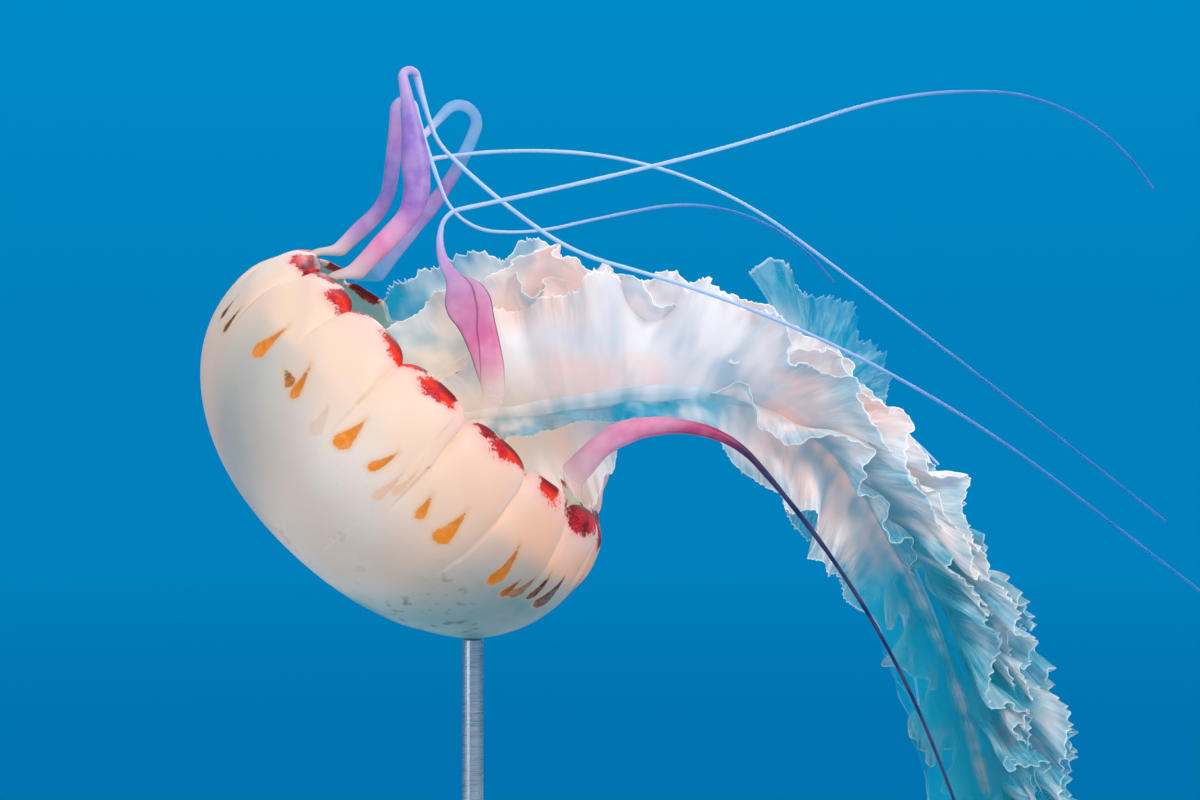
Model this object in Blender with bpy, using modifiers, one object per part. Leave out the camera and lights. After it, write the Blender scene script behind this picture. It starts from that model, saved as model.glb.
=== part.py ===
"""Sea nettle jellyfish: a still, life-size display model on a plain stand.

The bell leans to the left with its mouth turned to the upper right. Four frilled
oral arms leave the mouth in one bundle that arches to the right and hangs down,
and eight long tentacles stream from clefts in the margin. A flat base carries
the animal on one rod under the bell and one under the arms.

Metres, +Z up. The origin is the centre of the base's underside. Animal shapes are
worked out round the centre of the mouth, which MOUTH_CENTRE places.
"""

import bisect
import math
from collections import namedtuple

import bmesh
import bpy
from mathutils import Matrix, Vector

COLLECTION_NAME = "sea_nettle_jellyfish"

# Where the bell is and how it leans
MOUTH_CENTRE = Vector((-0.061, 0.0, 0.268))
MOUTH_ELEVATION = math.radians(47.0)
MOUTH_TURN = math.radians(2.0)

# The bell, a dome over an inrolled margin
BELL_RADIUS = 0.087
BELL_HEIGHT = 0.089
WIDEST_HEIGHT = 0.028
MARGIN_RADIUS = 0.071
DOME_EXPONENT = 2.2
APEX_THICKNESS = 0.014
WALL_THICKNESS = 0.004
EDGE_THICKNESS = 0.0022
CROWN_STEPS = 40
CROWN_ROWS = 8

# The margin, in octants of two lappets, with a tentacle in one cleft in each octant
OCTANTS = 8
LAPPETS_PER_OCTANT = 2
FIRST_TENTACLE_AZIMUTH = math.radians(-34.0)
CLEFT_DEPTH = 0.30
MARGIN_ROWS = 5
MARGIN_STEPS = 9

# The manubrium, a four-cornered stalk inside the bell
MANUBRIUM_TOP_RADIUS = 0.016
MANUBRIUM_WAIST_RADIUS = 0.0125
MANUBRIUM_END_HEIGHT = 0.017
MANUBRIUM_SIDES = 16
MANUBRIUM_RINGS = 7

# A run of a path, as seen from the front: its length, how far it turns to the left
# (a turn to the right is negative) and how far it drifts away from the viewer's side
Run = namedtuple("Run", "length turn drift")

# The bundle of oral arms leaves the manubrium, arches over and hangs down
BUNDLE_START_HEIGHT = 0.0135
BUNDLE_RUNS = (
    Run(0.055, -38, -0.0067),
    Run(0.060, -32, 0.003),
    Run(0.080, -35, 0.003),
    Run(0.100, -16, 0.004),
    Run(0.080, -10, 0.002),
)

# An arm across the bundle, at a place along it. The rib is near mm toward the viewer and
# up mm up from the bundle's middle. Each of the two lips leaves the rib in the direction of
# its lean in degrees (0 toward the viewer, 90 up, 180 away), turns by its curl on the way
# and reaches so many mm. Places are in mm.
ArmStation = namedtuple("ArmStation", "place near up lean_a curl_a reach_a lean_b curl_b reach_b")
MM = 0.001
ARMS = {
    # Stands up in front, from 110 mm on with a second lip toward the viewer
    "front_upper": (
        ArmStation(0, 7, 7, 100, -10, 22, 30, 0, 3),
        ArmStation(25, 9, 5, 96, -12, 26, 30, 0, 3),
        ArmStation(50, 6, 3, 90, -14, 32, 30, 0, 3),
        ArmStation(105, 6, 3, 84, -14, 22, 30, 0, 4),
        ArmStation(145, 6, 3, 76, -6, 25, 30, 8, 20),
        ArmStation(190, 5, 3, 72, 0, 23, 32, 8, 20),
        ArmStation(240, 4, 3, 84, 0, 26, 38, 4, 17),
        ArmStation(320, 3, 3, 84, 0, 27, 30, 0, 14),
        ArmStation(375, 2, 2, 84, 0, 7, 10, 0, 5),
    ),
    # The far sheet that rises behind the mouth, with the tall fan at 135 mm
    "back_upper": (
        ArmStation(0, -7, 7, 100, 0, 32, 165, 0, 14),
        ArmStation(25, -8, 7, 97, -5, 37, 165, 0, 22),
        ArmStation(55, -6, 5, 94, -8, 34, 165, 0, 25),
        ArmStation(75, -6, 5, 94, -8, 22, 165, 0, 24),
        ArmStation(108, -6, 5, 96, -6, 22, 163, 0, 26),
        ArmStation(127, -6, 5, 95, 0, 35, 160, 0, 28),
        ArmStation(142, -6, 5, 95, 0, 35, 160, 0, 28),
        ArmStation(168, -5, 4, 100, 0, 20, 160, 0, 28),
        ArmStation(205, -5, 4, 100, 0, 25, 160, 0, 27),
        ArmStation(250, -5, 4, 100, 0, 31, 160, 0, 25),
        ArmStation(320, -3, 3, 100, 0, 30, 160, 0, 22),
        ArmStation(375, -2, 2, 100, 0, 7, 160, 0, 6),
    ),
    # The broad flap that hangs below the mouth, then a narrow membrane
    "back_lower": (
        ArmStation(0, -7, -7, 205, 0, 14, 268, 0, 34),
        ArmStation(22, -8, -8, 205, 0, 22, 268, 4, 52),
        ArmStation(50, -6, -8, 205, 0, 24, 268, 4, 56),
        ArmStation(76, -6, -8, 205, 0, 23, 268, 4, 22),
        ArmStation(110, -5, -6, 205, 0, 21, 268, 2, 20),
        ArmStation(155, -5, -6, 205, 0, 28, 266, 0, 26),
        ArmStation(240, -4, -4, 205, 0, 26, 266, 0, 18),
        ArmStation(320, -3, -3, 205, 0, 22, 266, 0, 22),
        ArmStation(375, -2, -2, 205, 0, 6, 266, 0, 7),
    ),
    # The big fold that turns over in front, and points that hang at 170 and 194 mm
    "front_lower": (
        ArmStation(0, 7, -7, 300, -10, 16, 62, 30, 14),
        ArmStation(25, 12, -20, 296, -10, 12, 60, 40, 26),
        ArmStation(57, 14, -24, 285, -10, 9, 58, 52, 45),
        ArmStation(85, 13, -21, 282, -8, 10, 60, 48, 45),
        ArmStation(112, 11, -15, 284, -8, 16, 56, 30, 40),
        ArmStation(150, 8, -8, 290, 0, 25, 26, 14, 31),
        ArmStation(171, 6, -6, 289, 0, 34, 14, 14, 28),
        ArmStation(194, 5, -4, 287, 0, 32, 10, 14, 27),
        ArmStation(228, 4, -4, 276, 0, 20, 12, 10, 24),
        ArmStation(320, 3, -3, 275, 0, 20, 12, 8, 18),
        ArmStation(375, 2, -2, 275, 0, 7, 12, 0, 6),
    ),
}
ARM_LENGTHS = 3
ARM_STATIONS = 12
RIB_THICKNESS = 0.0026
FRILL_THICKNESS = 0.0012
FRILL_SWING = math.radians(5.0)
FRILL_WAVE = 0.034
FRILL_SCALLOP = 0.04

# The tentacles
ROOT_INSET = 0.0042
ROOT_HEIGHT = 0.003
FILAMENT = 0.0010
TENTACLE_SIDES = 6
TENTACLE_STATIONS = 10

# The stand
BASE_LENGTH = 0.340
BASE_WIDTH = 0.170
BASE_THICKNESS = 0.012
BASE_CORNER = 0.060
BASE_EDGE = 0.0025
ROD_DIAMETER = 0.008
ARM_ROD_DIAMETER = 0.005
ROD_CHAMFER = 0.0006
ROD_SIDES = 24

GAP = 0.0003

BEND_WEIGHT = 0.012

# Widths and thicknesses at shares of the length, from root to filament
STOUT_GIRTH = (
    (0.0, 0.0070, 0.0055), (0.06, 0.0070, 0.0055), (0.12, 0.0110, 0.0060), (0.145, 0.0090, 0.0050),
    (0.18, 0.0038, 0.0030), (0.22, 0.0028, 0.0024), (0.25, 0.0016, 0.0015),
)
SLIM_GIRTH = (
    (0.0, 0.0060, 0.0045), (0.17, 0.0056, 0.0042), (0.24, 0.0044, 0.0034), (0.28, 0.0019, 0.0018),
    (0.45, 0.0012, 0.0012),
)
VEILED_GIRTH = (
    (0.0, 0.0080, 0.0034), (0.035, 0.0120, 0.0032), (0.07, 0.0070, 0.0034), (0.12, 0.0050, 0.0030),
    (0.16, 0.0046, 0.0026), (0.20, 0.0042, 0.0024), (0.24, 0.0026, 0.0020), (0.28, 0.0014, 0.0014),
)
RIBBON_GIRTH = (
    (0.0, 0.0090, 0.0030), (0.06, 0.0110, 0.0026), (0.125, 0.0175, 0.0024), (0.165, 0.0060, 0.0024),
    (0.19, 0.0028, 0.0020), (0.22, 0.0016, 0.0015),
)
LASH_GIRTH = (
    (0.0, 0.0085, 0.0060), (0.04, 0.0105, 0.0064), (0.11, 0.0086, 0.0060), (0.22, 0.0048, 0.0042),
    (0.32, 0.0026, 0.0024), (0.50, 0.0018, 0.0017),
)
REAR_GIRTH = ((0.0, 0.0070, 0.0050), (0.20, 0.0044, 0.0036), (0.45, 0.0016, 0.0016))

Tentacle = namedtuple("Tentacle", "azimuth girth lengths runs")

# Every tentacle starts along the mouth's axis and then follows its runs
TENTACLES = (
    # Climbs steeply, folds over at the top and sweeps away to the lower right
    Tentacle(-52, STOUT_GIRTH, 4, (
        Run(0.0265, 0, 0.004),
        Run(0.018, 47, 0.003),
        Run(0.039, 8, 0.005),
        Run(0.0075, -178, 0.006),
        Run(0.020, 5, -0.003),
        Run(0.012, 26, -0.003),
        Run(0.045, 10, -0.010),
        Run(0.030, 20, -0.004),
        Run(0.180, -22, 0.006),
        Run(0.070, 0, 0.008),
    )),
    # Climbs behind the first, folds over and ripples to the right
    Tentacle(-78, SLIM_GIRTH, 4, (
        Run(0.019, -4, 0.003),
        Run(0.016, 38, 0.002),
        Run(0.028, 10, 0.001),
        Run(0.011, -166, 0.002),
        Run(0.034, 6, -0.003),
        Run(0.026, 66, -0.001),
        Run(0.026, 17, 0.006),
        Run(0.034, -3, 0.008),
        Run(0.080, -65, 0.022),
    )),
    # A broad veiled root, a loop to the left and a hook, then one long sweep
    Tentacle(-124, VEILED_GIRTH, 4, (
        Run(0.031, 0, -0.004),
        Run(0.041, 22, -0.004),
        Run(0.018, 160, -0.006),
        Run(0.0165, 0, -0.003),
        Run(0.010, 142, 0.002),
        Run(0.055, -14, 0.012),
        Run(0.095, -33, 0.022),
        Run(0.190, -2, 0.018),
    )),
    # A broad ribbon in front of the mouth, then a filament that arches high to the right
    Tentacle(15, RIBBON_GIRTH, 4, (
        Run(0.009, 52, 0.001),
        Run(0.026, 13, 0.003),
        Run(0.018, 14, 0.005),
        Run(0.018, -48, 0.004),
        Run(0.010, -66, 0.001),
        Run(0.075, 2, 0.006),
        Run(0.065, 5, 0.006),
        Run(0.060, -20, 0.010),
        Run(0.075, -55, 0.020),
    )),
    # A long lash that arches under the arms and trails down beside them
    Tentacle(56, LASH_GIRTH, 4, (
        Run(0.013, 0, -0.003),
        Run(0.020, -36, -0.001),
        Run(0.024, -26, 0.0),
        Run(0.022, -33, 0.001),
        Run(0.060, -9, 0.006),
        Run(0.060, -10, 0.010),
        Run(0.080, -7, 0.012),
    )),
    # Turns up behind the flap, then follows the bundle's arch
    Tentacle(101, REAR_GIRTH, 3, (
        Run(0.013, 38, 0.010),
        Run(0.022, 8, 0.014),
        Run(0.030, -80, 0.012),
        Run(0.070, -42, 0.004),
        Run(0.060, -18, -0.004),
    )),
    # Two more behind the bundle, which follow its arch
    Tentacle(146, REAR_GIRTH, 3, (
        Run(0.030, -22, 0.0),
        Run(0.060, -46, 0.0),
        Run(0.065, -38, -0.002),
        Run(0.070, -14, -0.004),
        Run(0.045, -8, -0.004),
    )),
    Tentacle(191, REAR_GIRTH, 3, (
        Run(0.030, -26, 0.0),
        Run(0.070, -42, -0.001),
        Run(0.070, -36, -0.002),
        Run(0.075, -18, -0.004),
        Run(0.050, -8, -0.002),
    )),
)


def clear_scene():
    for old in list(bpy.data.objects):
        bpy.data.objects.remove(old, do_unlink=True)


def make_collection(name):
    collection = bpy.data.collections.new(name)
    bpy.context.scene.collection.children.link(collection)
    return collection


def make_material(name, colour, roughness, metallic=0.0, alpha=1.0):
    finish = bpy.data.materials.new(name)
    finish.use_nodes = True
    shader = finish.node_tree.nodes["Principled BSDF"]
    shader.inputs["Base Color"].default_value = (*colour, 1.0)
    shader.inputs["Roughness"].default_value = roughness
    shader.inputs["Metallic"].default_value = metallic
    shader.inputs["Alpha"].default_value = alpha
    finish.diffuse_color = (*colour, alpha)
    return finish


def add_object(name, mesh, finish, collection):
    mesh.materials.append(finish)
    piece = bpy.data.objects.new(name, mesh)
    collection.objects.link(piece)
    return piece


def loft(name, sections, finish, collection):
    """A closed body through rings of equally many points, with a flat cap at each end."""
    body = bmesh.new()
    rings = [[body.verts.new(point) for point in section] for section in sections]
    for ring, following in zip(rings, rings[1:]):
        for i in range(len(ring)):
            j = (i + 1) % len(ring)
            body.faces.new((ring[i], ring[j], following[j], following[i]))
    last = len(rings[0]) - 1
    for ring in (rings[0], rings[-1]):
        for i in range(last // 2):
            body.faces.new((ring[i], ring[i + 1], ring[last - 1 - i], ring[last - i]))
    bmesh.ops.triangulate(body, faces=body.faces[:])
    bmesh.ops.recalc_face_normals(body, faces=body.faces[:])
    if body.calc_volume(signed=True) < 0:
        bmesh.ops.reverse_faces(body, faces=body.faces[:])
    mesh = bpy.data.meshes.new(name)
    body.to_mesh(mesh)
    body.free()
    mesh.shade_smooth()
    mesh.set_sharp_from_angle(angle=math.radians(50.0))
    return add_object(name, mesh, finish, collection)


def interpolate(stations, at):
    """The values at a place between (place, value, ...) stations, held past the last one."""
    if at <= stations[0][0]:
        return stations[0][1:]
    for low, high in zip(stations, stations[1:]):
        if at <= high[0]:
            share = (at - low[0]) / (high[0] - low[0])
            share = share * share * (3.0 - 2.0 * share)
            return tuple(a + (b - a) * share for a, b in zip(low[1:], high[1:]))
    return stations[-1][1:]


class Route:
    """A path of arcs from a start point and heading, which tells the point at a distance along it."""

    STEP = 0.0005

    def __init__(self, start, heading, runs):
        self.points = [start.copy()]
        self.bends = [0.0]
        for run in runs:
            steps = max(2, round(run.length / self.STEP))
            turn = math.radians(run.turn) / steps
            for _ in range(steps):
                middle = heading + turn / 2
                length = run.length / steps
                move = Vector((math.cos(middle) * length, run.drift / steps, math.sin(middle) * length))
                self.points.append(self.points[-1] + move)
                self.bends.append(self.bends[-1] + abs(turn))
                heading += turn
        self.distances = [0.0]
        for a, b in zip(self.points, self.points[1:]):
            self.distances.append(self.distances[-1] + (b - a).length)
        self.length = self.distances[-1]

    def point(self, distance):
        distance = min(max(distance, 0.0), self.length)
        i = min(bisect.bisect_right(self.distances, distance), len(self.distances) - 1)
        share = (distance - self.distances[i - 1]) / (self.distances[i] - self.distances[i - 1])
        return self.points[i - 1].lerp(self.points[i], share)

    def direction(self, distance, reach=0.0008):
        return (self.point(distance + reach) - self.point(distance - reach)).normalized()

    def stations(self, start, end, count):
        """Distances from start to end, closer together where the path bends."""
        efforts = [along + BEND_WEIGHT * bend for along, bend in zip(self.distances, self.bends)]
        first = efforts[bisect.bisect_left(self.distances, start)]
        last = efforts[min(bisect.bisect_left(self.distances, end), len(efforts) - 1)]
        chosen = [start]
        for step in range(1, count - 1):
            effort = first + (last - first) * step / (count - 1)
            chosen.append(self.distances[bisect.bisect_left(efforts, effort)])
        return [*chosen, end]


# The bell's own directions: out of the mouth, towards the viewer's side, and to the lower right
MOUTH_AXIS = Vector(
    (
        math.cos(MOUTH_ELEVATION) * math.cos(MOUTH_TURN),
        -math.sin(MOUTH_TURN),
        math.sin(MOUTH_ELEVATION) * math.cos(MOUTH_TURN),
    )
)
SIDE_AXIS = Vector((math.sin(MOUTH_ELEVATION), 0.0, -math.cos(MOUTH_ELEVATION)))
FRONT_AXIS = SIDE_AXIS.cross(MOUTH_AXIS)


def bell_point(radius, height, azimuth):
    """A point in the world, from its place round the bell's axis. Height runs from mouth to apex."""
    outward = FRONT_AXIS * math.cos(azimuth) + SIDE_AXIS * math.sin(azimuth)
    return MOUTH_CENTRE + outward * radius - MOUTH_AXIS * height


def outer_profile(angle):
    """(radius, height) of the outer surface: 0 at the apex, a quarter turn at the widest, a half at the edge."""
    if angle <= math.pi / 2:
        power = 2.0 / DOME_EXPONENT
        across = max(math.sin(angle), 0.0) ** power
        up = max(math.cos(angle), 0.0) ** power
        return BELL_RADIUS * across, WIDEST_HEIGHT + (BELL_HEIGHT - WIDEST_HEIGHT) * up
    radius = MARGIN_RADIUS + (BELL_RADIUS - MARGIN_RADIUS) * math.sin(angle)
    return radius, WIDEST_HEIGHT * (1.0 + math.cos(angle))


def wall_thickness(angle):
    if angle <= math.pi / 2:
        share = math.cos(angle) ** 1.5
        return WALL_THICKNESS + (APEX_THICKNESS - WALL_THICKNESS) * share
    share = (angle - math.pi / 2) / (math.pi / 2)
    return WALL_THICKNESS + (EDGE_THICKNESS - WALL_THICKNESS) * share


def inner_profile(angle, extra=0.0):
    """(radius, height) of the inner surface, the wall's thickness in from the outer one."""
    small = 1e-4
    before = outer_profile(max(angle - small, 0.0))
    after = outer_profile(min(angle + small, math.pi))
    along = Vector((after[0] - before[0], after[1] - before[1])).normalized()
    radius, height = outer_profile(angle)
    thickness = wall_thickness(angle) + extra
    if angle < small:
        return 0.0, height - thickness
    return max(radius + along.y * thickness, 0.0), height - along.x * thickness


def bell_matrix():
    """Turns a shape modelled round +Z, apex up, into the bell's place."""
    columns = (SIDE_AXIS, -FRONT_AXIS, -MOUTH_AXIS)
    turn = Matrix(columns).transposed().to_4x4()
    return Matrix.Translation(MOUTH_CENTRE) @ turn


def build_crown(finish, collection):
    """The dome down to its widest ring: a closed profile of outer and inner surface, turned round the axis."""
    angles = [math.pi / 2 * row / CROWN_ROWS for row in range(CROWN_ROWS + 1)]
    profile = [outer_profile(angle) for angle in angles]
    profile += [inner_profile(angle) for angle in reversed(angles)]
    seat = WIDEST_HEIGHT + GAP
    profile = [(radius, max(height, seat)) for radius, height in profile]
    mesh = bpy.data.meshes.new("bell_crown")
    points = [(radius, 0.0, height) for radius, height in profile]
    mesh.from_pydata(points, [(i, i + 1) for i in range(len(points) - 1)], [])
    crown = add_object("bell_crown", mesh, finish, collection)
    crown.matrix_world = bell_matrix()
    turned = crown.modifiers.new("turned", "SCREW")
    turned.steps = CROWN_STEPS
    turned.render_steps = CROWN_STEPS
    turned.use_merge_vertices = True
    turned.merge_threshold = 0.00001
    turned.use_smooth_shade = True
    return crown


def cleft_share(azimuth):
    """How near an azimuth is to a cleft between lappets: 1 in the cleft, 0 at a lappet's middle."""
    spacing = 2 * math.pi / (OCTANTS * LAPPETS_PER_OCTANT)
    offset = (azimuth - FIRST_TENTACLE_AZIMUTH) / spacing
    distance = abs(offset - round(offset)) * 2.0
    return (1.0 - distance) ** 2


def build_margin(finish, collection):
    """The inrolled margin, one node for each octant, its free edge scalloped into lappets."""
    octant = 2 * math.pi / OCTANTS
    for number in range(OCTANTS):
        start = FIRST_TENTACLE_AZIMUTH + octant * number
        trim = GAP / (2 * MARGIN_RADIUS)
        sections = []
        for step in range(MARGIN_STEPS):
            azimuth = start + trim + (octant - 2 * trim) * step / (MARGIN_STEPS - 1)
            last = math.pi - CLEFT_DEPTH * cleft_share(azimuth)
            rows = [math.pi / 2 + (last - math.pi / 2) * row / (MARGIN_ROWS - 1) for row in range(MARGIN_ROWS)]
            ring = [outer_profile(angle) for angle in rows]
            ring += [inner_profile(angle) for angle in reversed(rows)]
            sections.append([bell_point(radius, height, azimuth) for radius, height in ring])
        loft(f"bell_lappets_{number + 1}", sections, finish, collection)


def build_manubrium(finish, collection):
    """The stalk that hangs from the middle of the bell's inner surface and carries the arms."""
    top = inner_profile(math.radians(9.0), GAP)[1]
    sections = []
    for ring in range(MANUBRIUM_RINGS):
        share = ring / (MANUBRIUM_RINGS - 1)
        height = top + (MANUBRIUM_END_HEIGHT - top) * share
        waist = math.sin(math.pi * share)
        radius = MANUBRIUM_TOP_RADIUS + (MANUBRIUM_WAIST_RADIUS - MANUBRIUM_TOP_RADIUS) * waist
        section = []
        for side in range(MANUBRIUM_SIDES):
            azimuth = 2 * math.pi * side / MANUBRIUM_SIDES
            corner = 1.0 + 0.12 * share * math.cos(4 * azimuth + math.pi)
            section.append(bell_point(radius * corner, height, azimuth))
        sections.append(section)
    loft("manubrium", sections, finish, collection)


def lip_line(lean, curl, reach, swing):
    """Points at half a lip's reach and at its edge, as steps from the rib: near and up, in metres."""
    steps = []
    total = Vector((0.0, 0.0))
    for share in (0.25, 0.75):
        angle = math.radians(lean + curl * share) + swing * share
        total = total + Vector((math.cos(angle), math.sin(angle))) * reach * MM / 2
        steps.append(total.copy())
    return steps


def arm_section(bundle, distance, stations, phase):
    """The outline of one arm across the bundle: a rib with a lip to each side."""
    centre = bundle.point(distance)
    along = bundle.direction(distance, reach=0.006)
    near = Vector((0.0, -1.0, 0.0))
    near = (near - along * near.dot(along)).normalized()
    upper = near.cross(along)
    here = ArmStation(distance / MM, *interpolate(stations, distance / MM))
    wave = 2 * math.pi * distance / FRILL_WAVE + phase
    scallop = 1.0 + FRILL_SCALLOP * math.cos(1.6 * wave)
    rib = Vector((here.near, here.up)) * MM
    lip_a = lip_line(here.lean_a, here.curl_a, here.reach_a * scallop, FRILL_SWING * math.sin(wave))
    lip_b = lip_line(here.lean_b, here.curl_b, here.reach_b * scallop, FRILL_SWING * math.sin(wave + 1.7))
    line = [rib + lip_a[1], rib + lip_a[0], rib, rib + lip_b[0], rib + lip_b[1]]
    shortest = min(here.reach_a, here.reach_b) * MM
    edge = min(FRILL_THICKNESS, 0.25 * shortest)
    middle = min(RIB_THICKNESS, 0.35 * shortest)
    thickness = (edge, (edge + middle) / 2, middle, (edge + middle) / 2, edge)
    left = []
    right = []
    for i, point in enumerate(line):
        before = line[max(i, 1)] - line[max(i, 1) - 1]
        after = line[min(i, len(line) - 2) + 1] - line[min(i, len(line) - 2)]
        run = (before.normalized() + after.normalized()).normalized()
        offset = Vector((-run.y, run.x)) * thickness[i] / 2
        left.append(point + offset)
        right.append(point - offset)
    return [centre + near * p.x + upper * p.y for p in left + right[::-1]]


def bundle_route():
    return Route(bell_point(0.0, BUNDLE_START_HEIGHT, 0.0), MOUTH_ELEVATION, BUNDLE_RUNS)


def build_arms(finish, collection):
    """Four arms, each on its own side of the bundle, in lengths that meet end to end."""
    bundle = bundle_route()
    for number, (name, stations) in enumerate(ARMS.items()):
        piece_length = bundle.length / ARM_LENGTHS
        for piece in range(ARM_LENGTHS):
            start = piece * piece_length + GAP / 2
            run = piece_length - GAP
            sections = [
                arm_section(bundle, start + run * station / (ARM_STATIONS - 1), stations, 1.3 * number)
                for station in range(ARM_STATIONS)
            ]
            loft(f"oral_arm_{name}_{piece + 1}", sections, finish, collection)


def tentacle_section(route, distance, girth):
    """An oval ring across a tentacle, its long way across seen from the front."""
    along = route.direction(distance)
    wide = along.cross(Vector((0.0, 1.0, 0.0))).normalized()
    thin = along.cross(wide)
    width, thickness = interpolate(girth, distance / route.length)
    ring = []
    for side in range(TENTACLE_SIDES):
        turn = 2 * math.pi * (side + 0.5) / TENTACLE_SIDES
        across = wide * math.cos(turn) * width / 2 + thin * math.sin(turn) * thickness / 2
        ring.append(route.point(distance) + across)
    return ring


def build_tentacles(finish, collection):
    """Eight tentacles, thick at the root and drawn out into filaments, each in a few lengths."""
    for number, tentacle in enumerate(TENTACLES, start=1):
        root = bell_point(MARGIN_RADIUS - ROOT_INSET, ROOT_HEIGHT, math.radians(tentacle.azimuth))
        out_of_mouth = Run(2 * ROOT_HEIGHT, 0, -2 * ROOT_HEIGHT * math.sin(MOUTH_TURN))
        route = Route(root, MOUTH_ELEVATION, (out_of_mouth, *tentacle.runs))
        girth = (*tentacle.girth, (1.0, FILAMENT, FILAMENT))
        # Lengths near the root are shorter, where the tentacle bends most
        ends = [route.length * (piece / tentacle.lengths) ** 1.35 for piece in range(tentacle.lengths + 1)]
        for piece, (start, end) in enumerate(zip(ends, ends[1:]), start=1):
            distances = route.stations(start + GAP / 2, end - GAP / 2, TENTACLE_STATIONS)
            sections = [tentacle_section(route, distance, girth) for distance in distances]
            loft(f"tentacle_{number}_{piece}", sections, finish, collection)


def lowest_bell_point():
    """The lowest point of the bell's outer surface."""
    lowest = None
    for row in range(1, 90):
        for step in range(180):
            radius, height = outer_profile(math.pi * row / 180)
            point = bell_point(radius, height, 2 * math.pi * step / 180)
            if lowest is None or point.z < lowest.z:
                lowest = point
    return lowest


def build_base(finish, collection):
    """A flat plate with round corners and softened edges, its underside at height 0."""
    outline = bpy.data.curves.new("base_outline", "CURVE")
    outline.dimensions = "2D"
    outline.fill_mode = "BOTH"
    outline.extrude = BASE_THICKNESS / 2
    corner_steps = 8
    points = []
    for quarter in range(4):
        x_sign = 1 if quarter in (0, 3) else -1
        y_sign = 1 if quarter in (0, 1) else -1
        for step in range(corner_steps + 1):
            turn = math.pi / 2 * (quarter + step / corner_steps)
            x = x_sign * (BASE_LENGTH / 2 - BASE_CORNER) + BASE_CORNER * math.cos(turn)
            y = y_sign * (BASE_WIDTH / 2 - BASE_CORNER) + BASE_CORNER * math.sin(turn)
            points.append((x, y))
    spline = outline.splines.new("POLY")
    spline.points.add(len(points) - 1)
    for target, (x, y) in zip(spline.points, points):
        target.co = (x, y, 0.0, 1.0)
    spline.use_cyclic_u = True
    base = bpy.data.objects.new("stand_base", outline)
    base.location = (0.0, 0.0, BASE_THICKNESS / 2)
    collection.objects.link(base)
    weld = base.modifiers.new("weld", "WELD")
    weld.merge_threshold = 0.00001
    edge = base.modifiers.new("edge", "BEVEL")
    edge.width = BASE_EDGE
    edge.segments = 2
    edge.limit_method = "ANGLE"
    edge.angle_limit = math.radians(60.0)
    outline.materials.append(finish)


def build_rod(name, foot, top, diameter, finish, collection):
    """An upright round rod from the base's top face to just under what it carries."""
    length = top - BASE_THICKNESS - 2 * GAP
    rod = bmesh.new()
    bmesh.ops.create_cone(
        rod,
        cap_ends=True,
        segments=ROD_SIDES,
        radius1=diameter / 2,
        radius2=diameter / 2,
        depth=length,
    )
    mesh = bpy.data.meshes.new(name)
    rod.to_mesh(mesh)
    rod.free()
    mesh.shade_smooth()
    mesh.set_sharp_from_angle(angle=math.radians(50.0))
    piece = add_object(name, mesh, finish, collection)
    piece.location = (foot.x, foot.y, BASE_THICKNESS + GAP + length / 2)
    edge = piece.modifiers.new("edge", "BEVEL")
    edge.width = ROD_CHAMFER
    edge.segments = 1
    edge.limit_method = "ANGLE"
    edge.angle_limit = math.radians(60.0)


def main():
    clear_scene()
    animal = make_collection(COLLECTION_NAME)
    bell = make_material("bell_flesh", (0.90, 0.83, 0.76), 0.30)
    margin = make_material("margin_flesh", (0.88, 0.62, 0.52), 0.32)
    stalk = make_material("stalk_flesh", (0.93, 0.86, 0.82), 0.35)
    arms = make_material("arm_flesh", (0.92, 0.88, 0.88), 0.38)
    tentacles = make_material("tentacle_flesh", (0.80, 0.42, 0.58), 0.35)
    plate = make_material("stand_plate", (0.10, 0.11, 0.12), 0.45)
    steel = make_material("stand_steel", (0.62, 0.63, 0.64), 0.30, metallic=1.0)
    build_crown(bell, animal)
    build_margin(margin, animal)
    build_manubrium(stalk, animal)
    build_arms(arms, animal)
    build_tentacles(tentacles, animal)
    build_base(plate, animal)
    lowest = lowest_bell_point()
    build_rod("stand_rod_bell", lowest, lowest.z, ROD_DIAMETER, steel, animal)
    arm_end = bundle_route().points[-1]
    build_rod("stand_rod_arms", arm_end, arm_end.z, ARM_ROD_DIAMETER, steel, animal)


main()
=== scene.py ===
"""A sea nettle jellyfish as a still display model: skins, finishes, studio and camera.

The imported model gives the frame. Every skin is worked out round the bell's mouth, whose place
comes from the frame, and rides on the one body. Metres, +Z up. The plans of the lips, the girths
of the tentacles and the marks of the bell are in millimetres and degrees.
"""

import logging
import math
from collections.abc import Callable, Sequence
from dataclasses import dataclass, field
from enum import Enum

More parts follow.
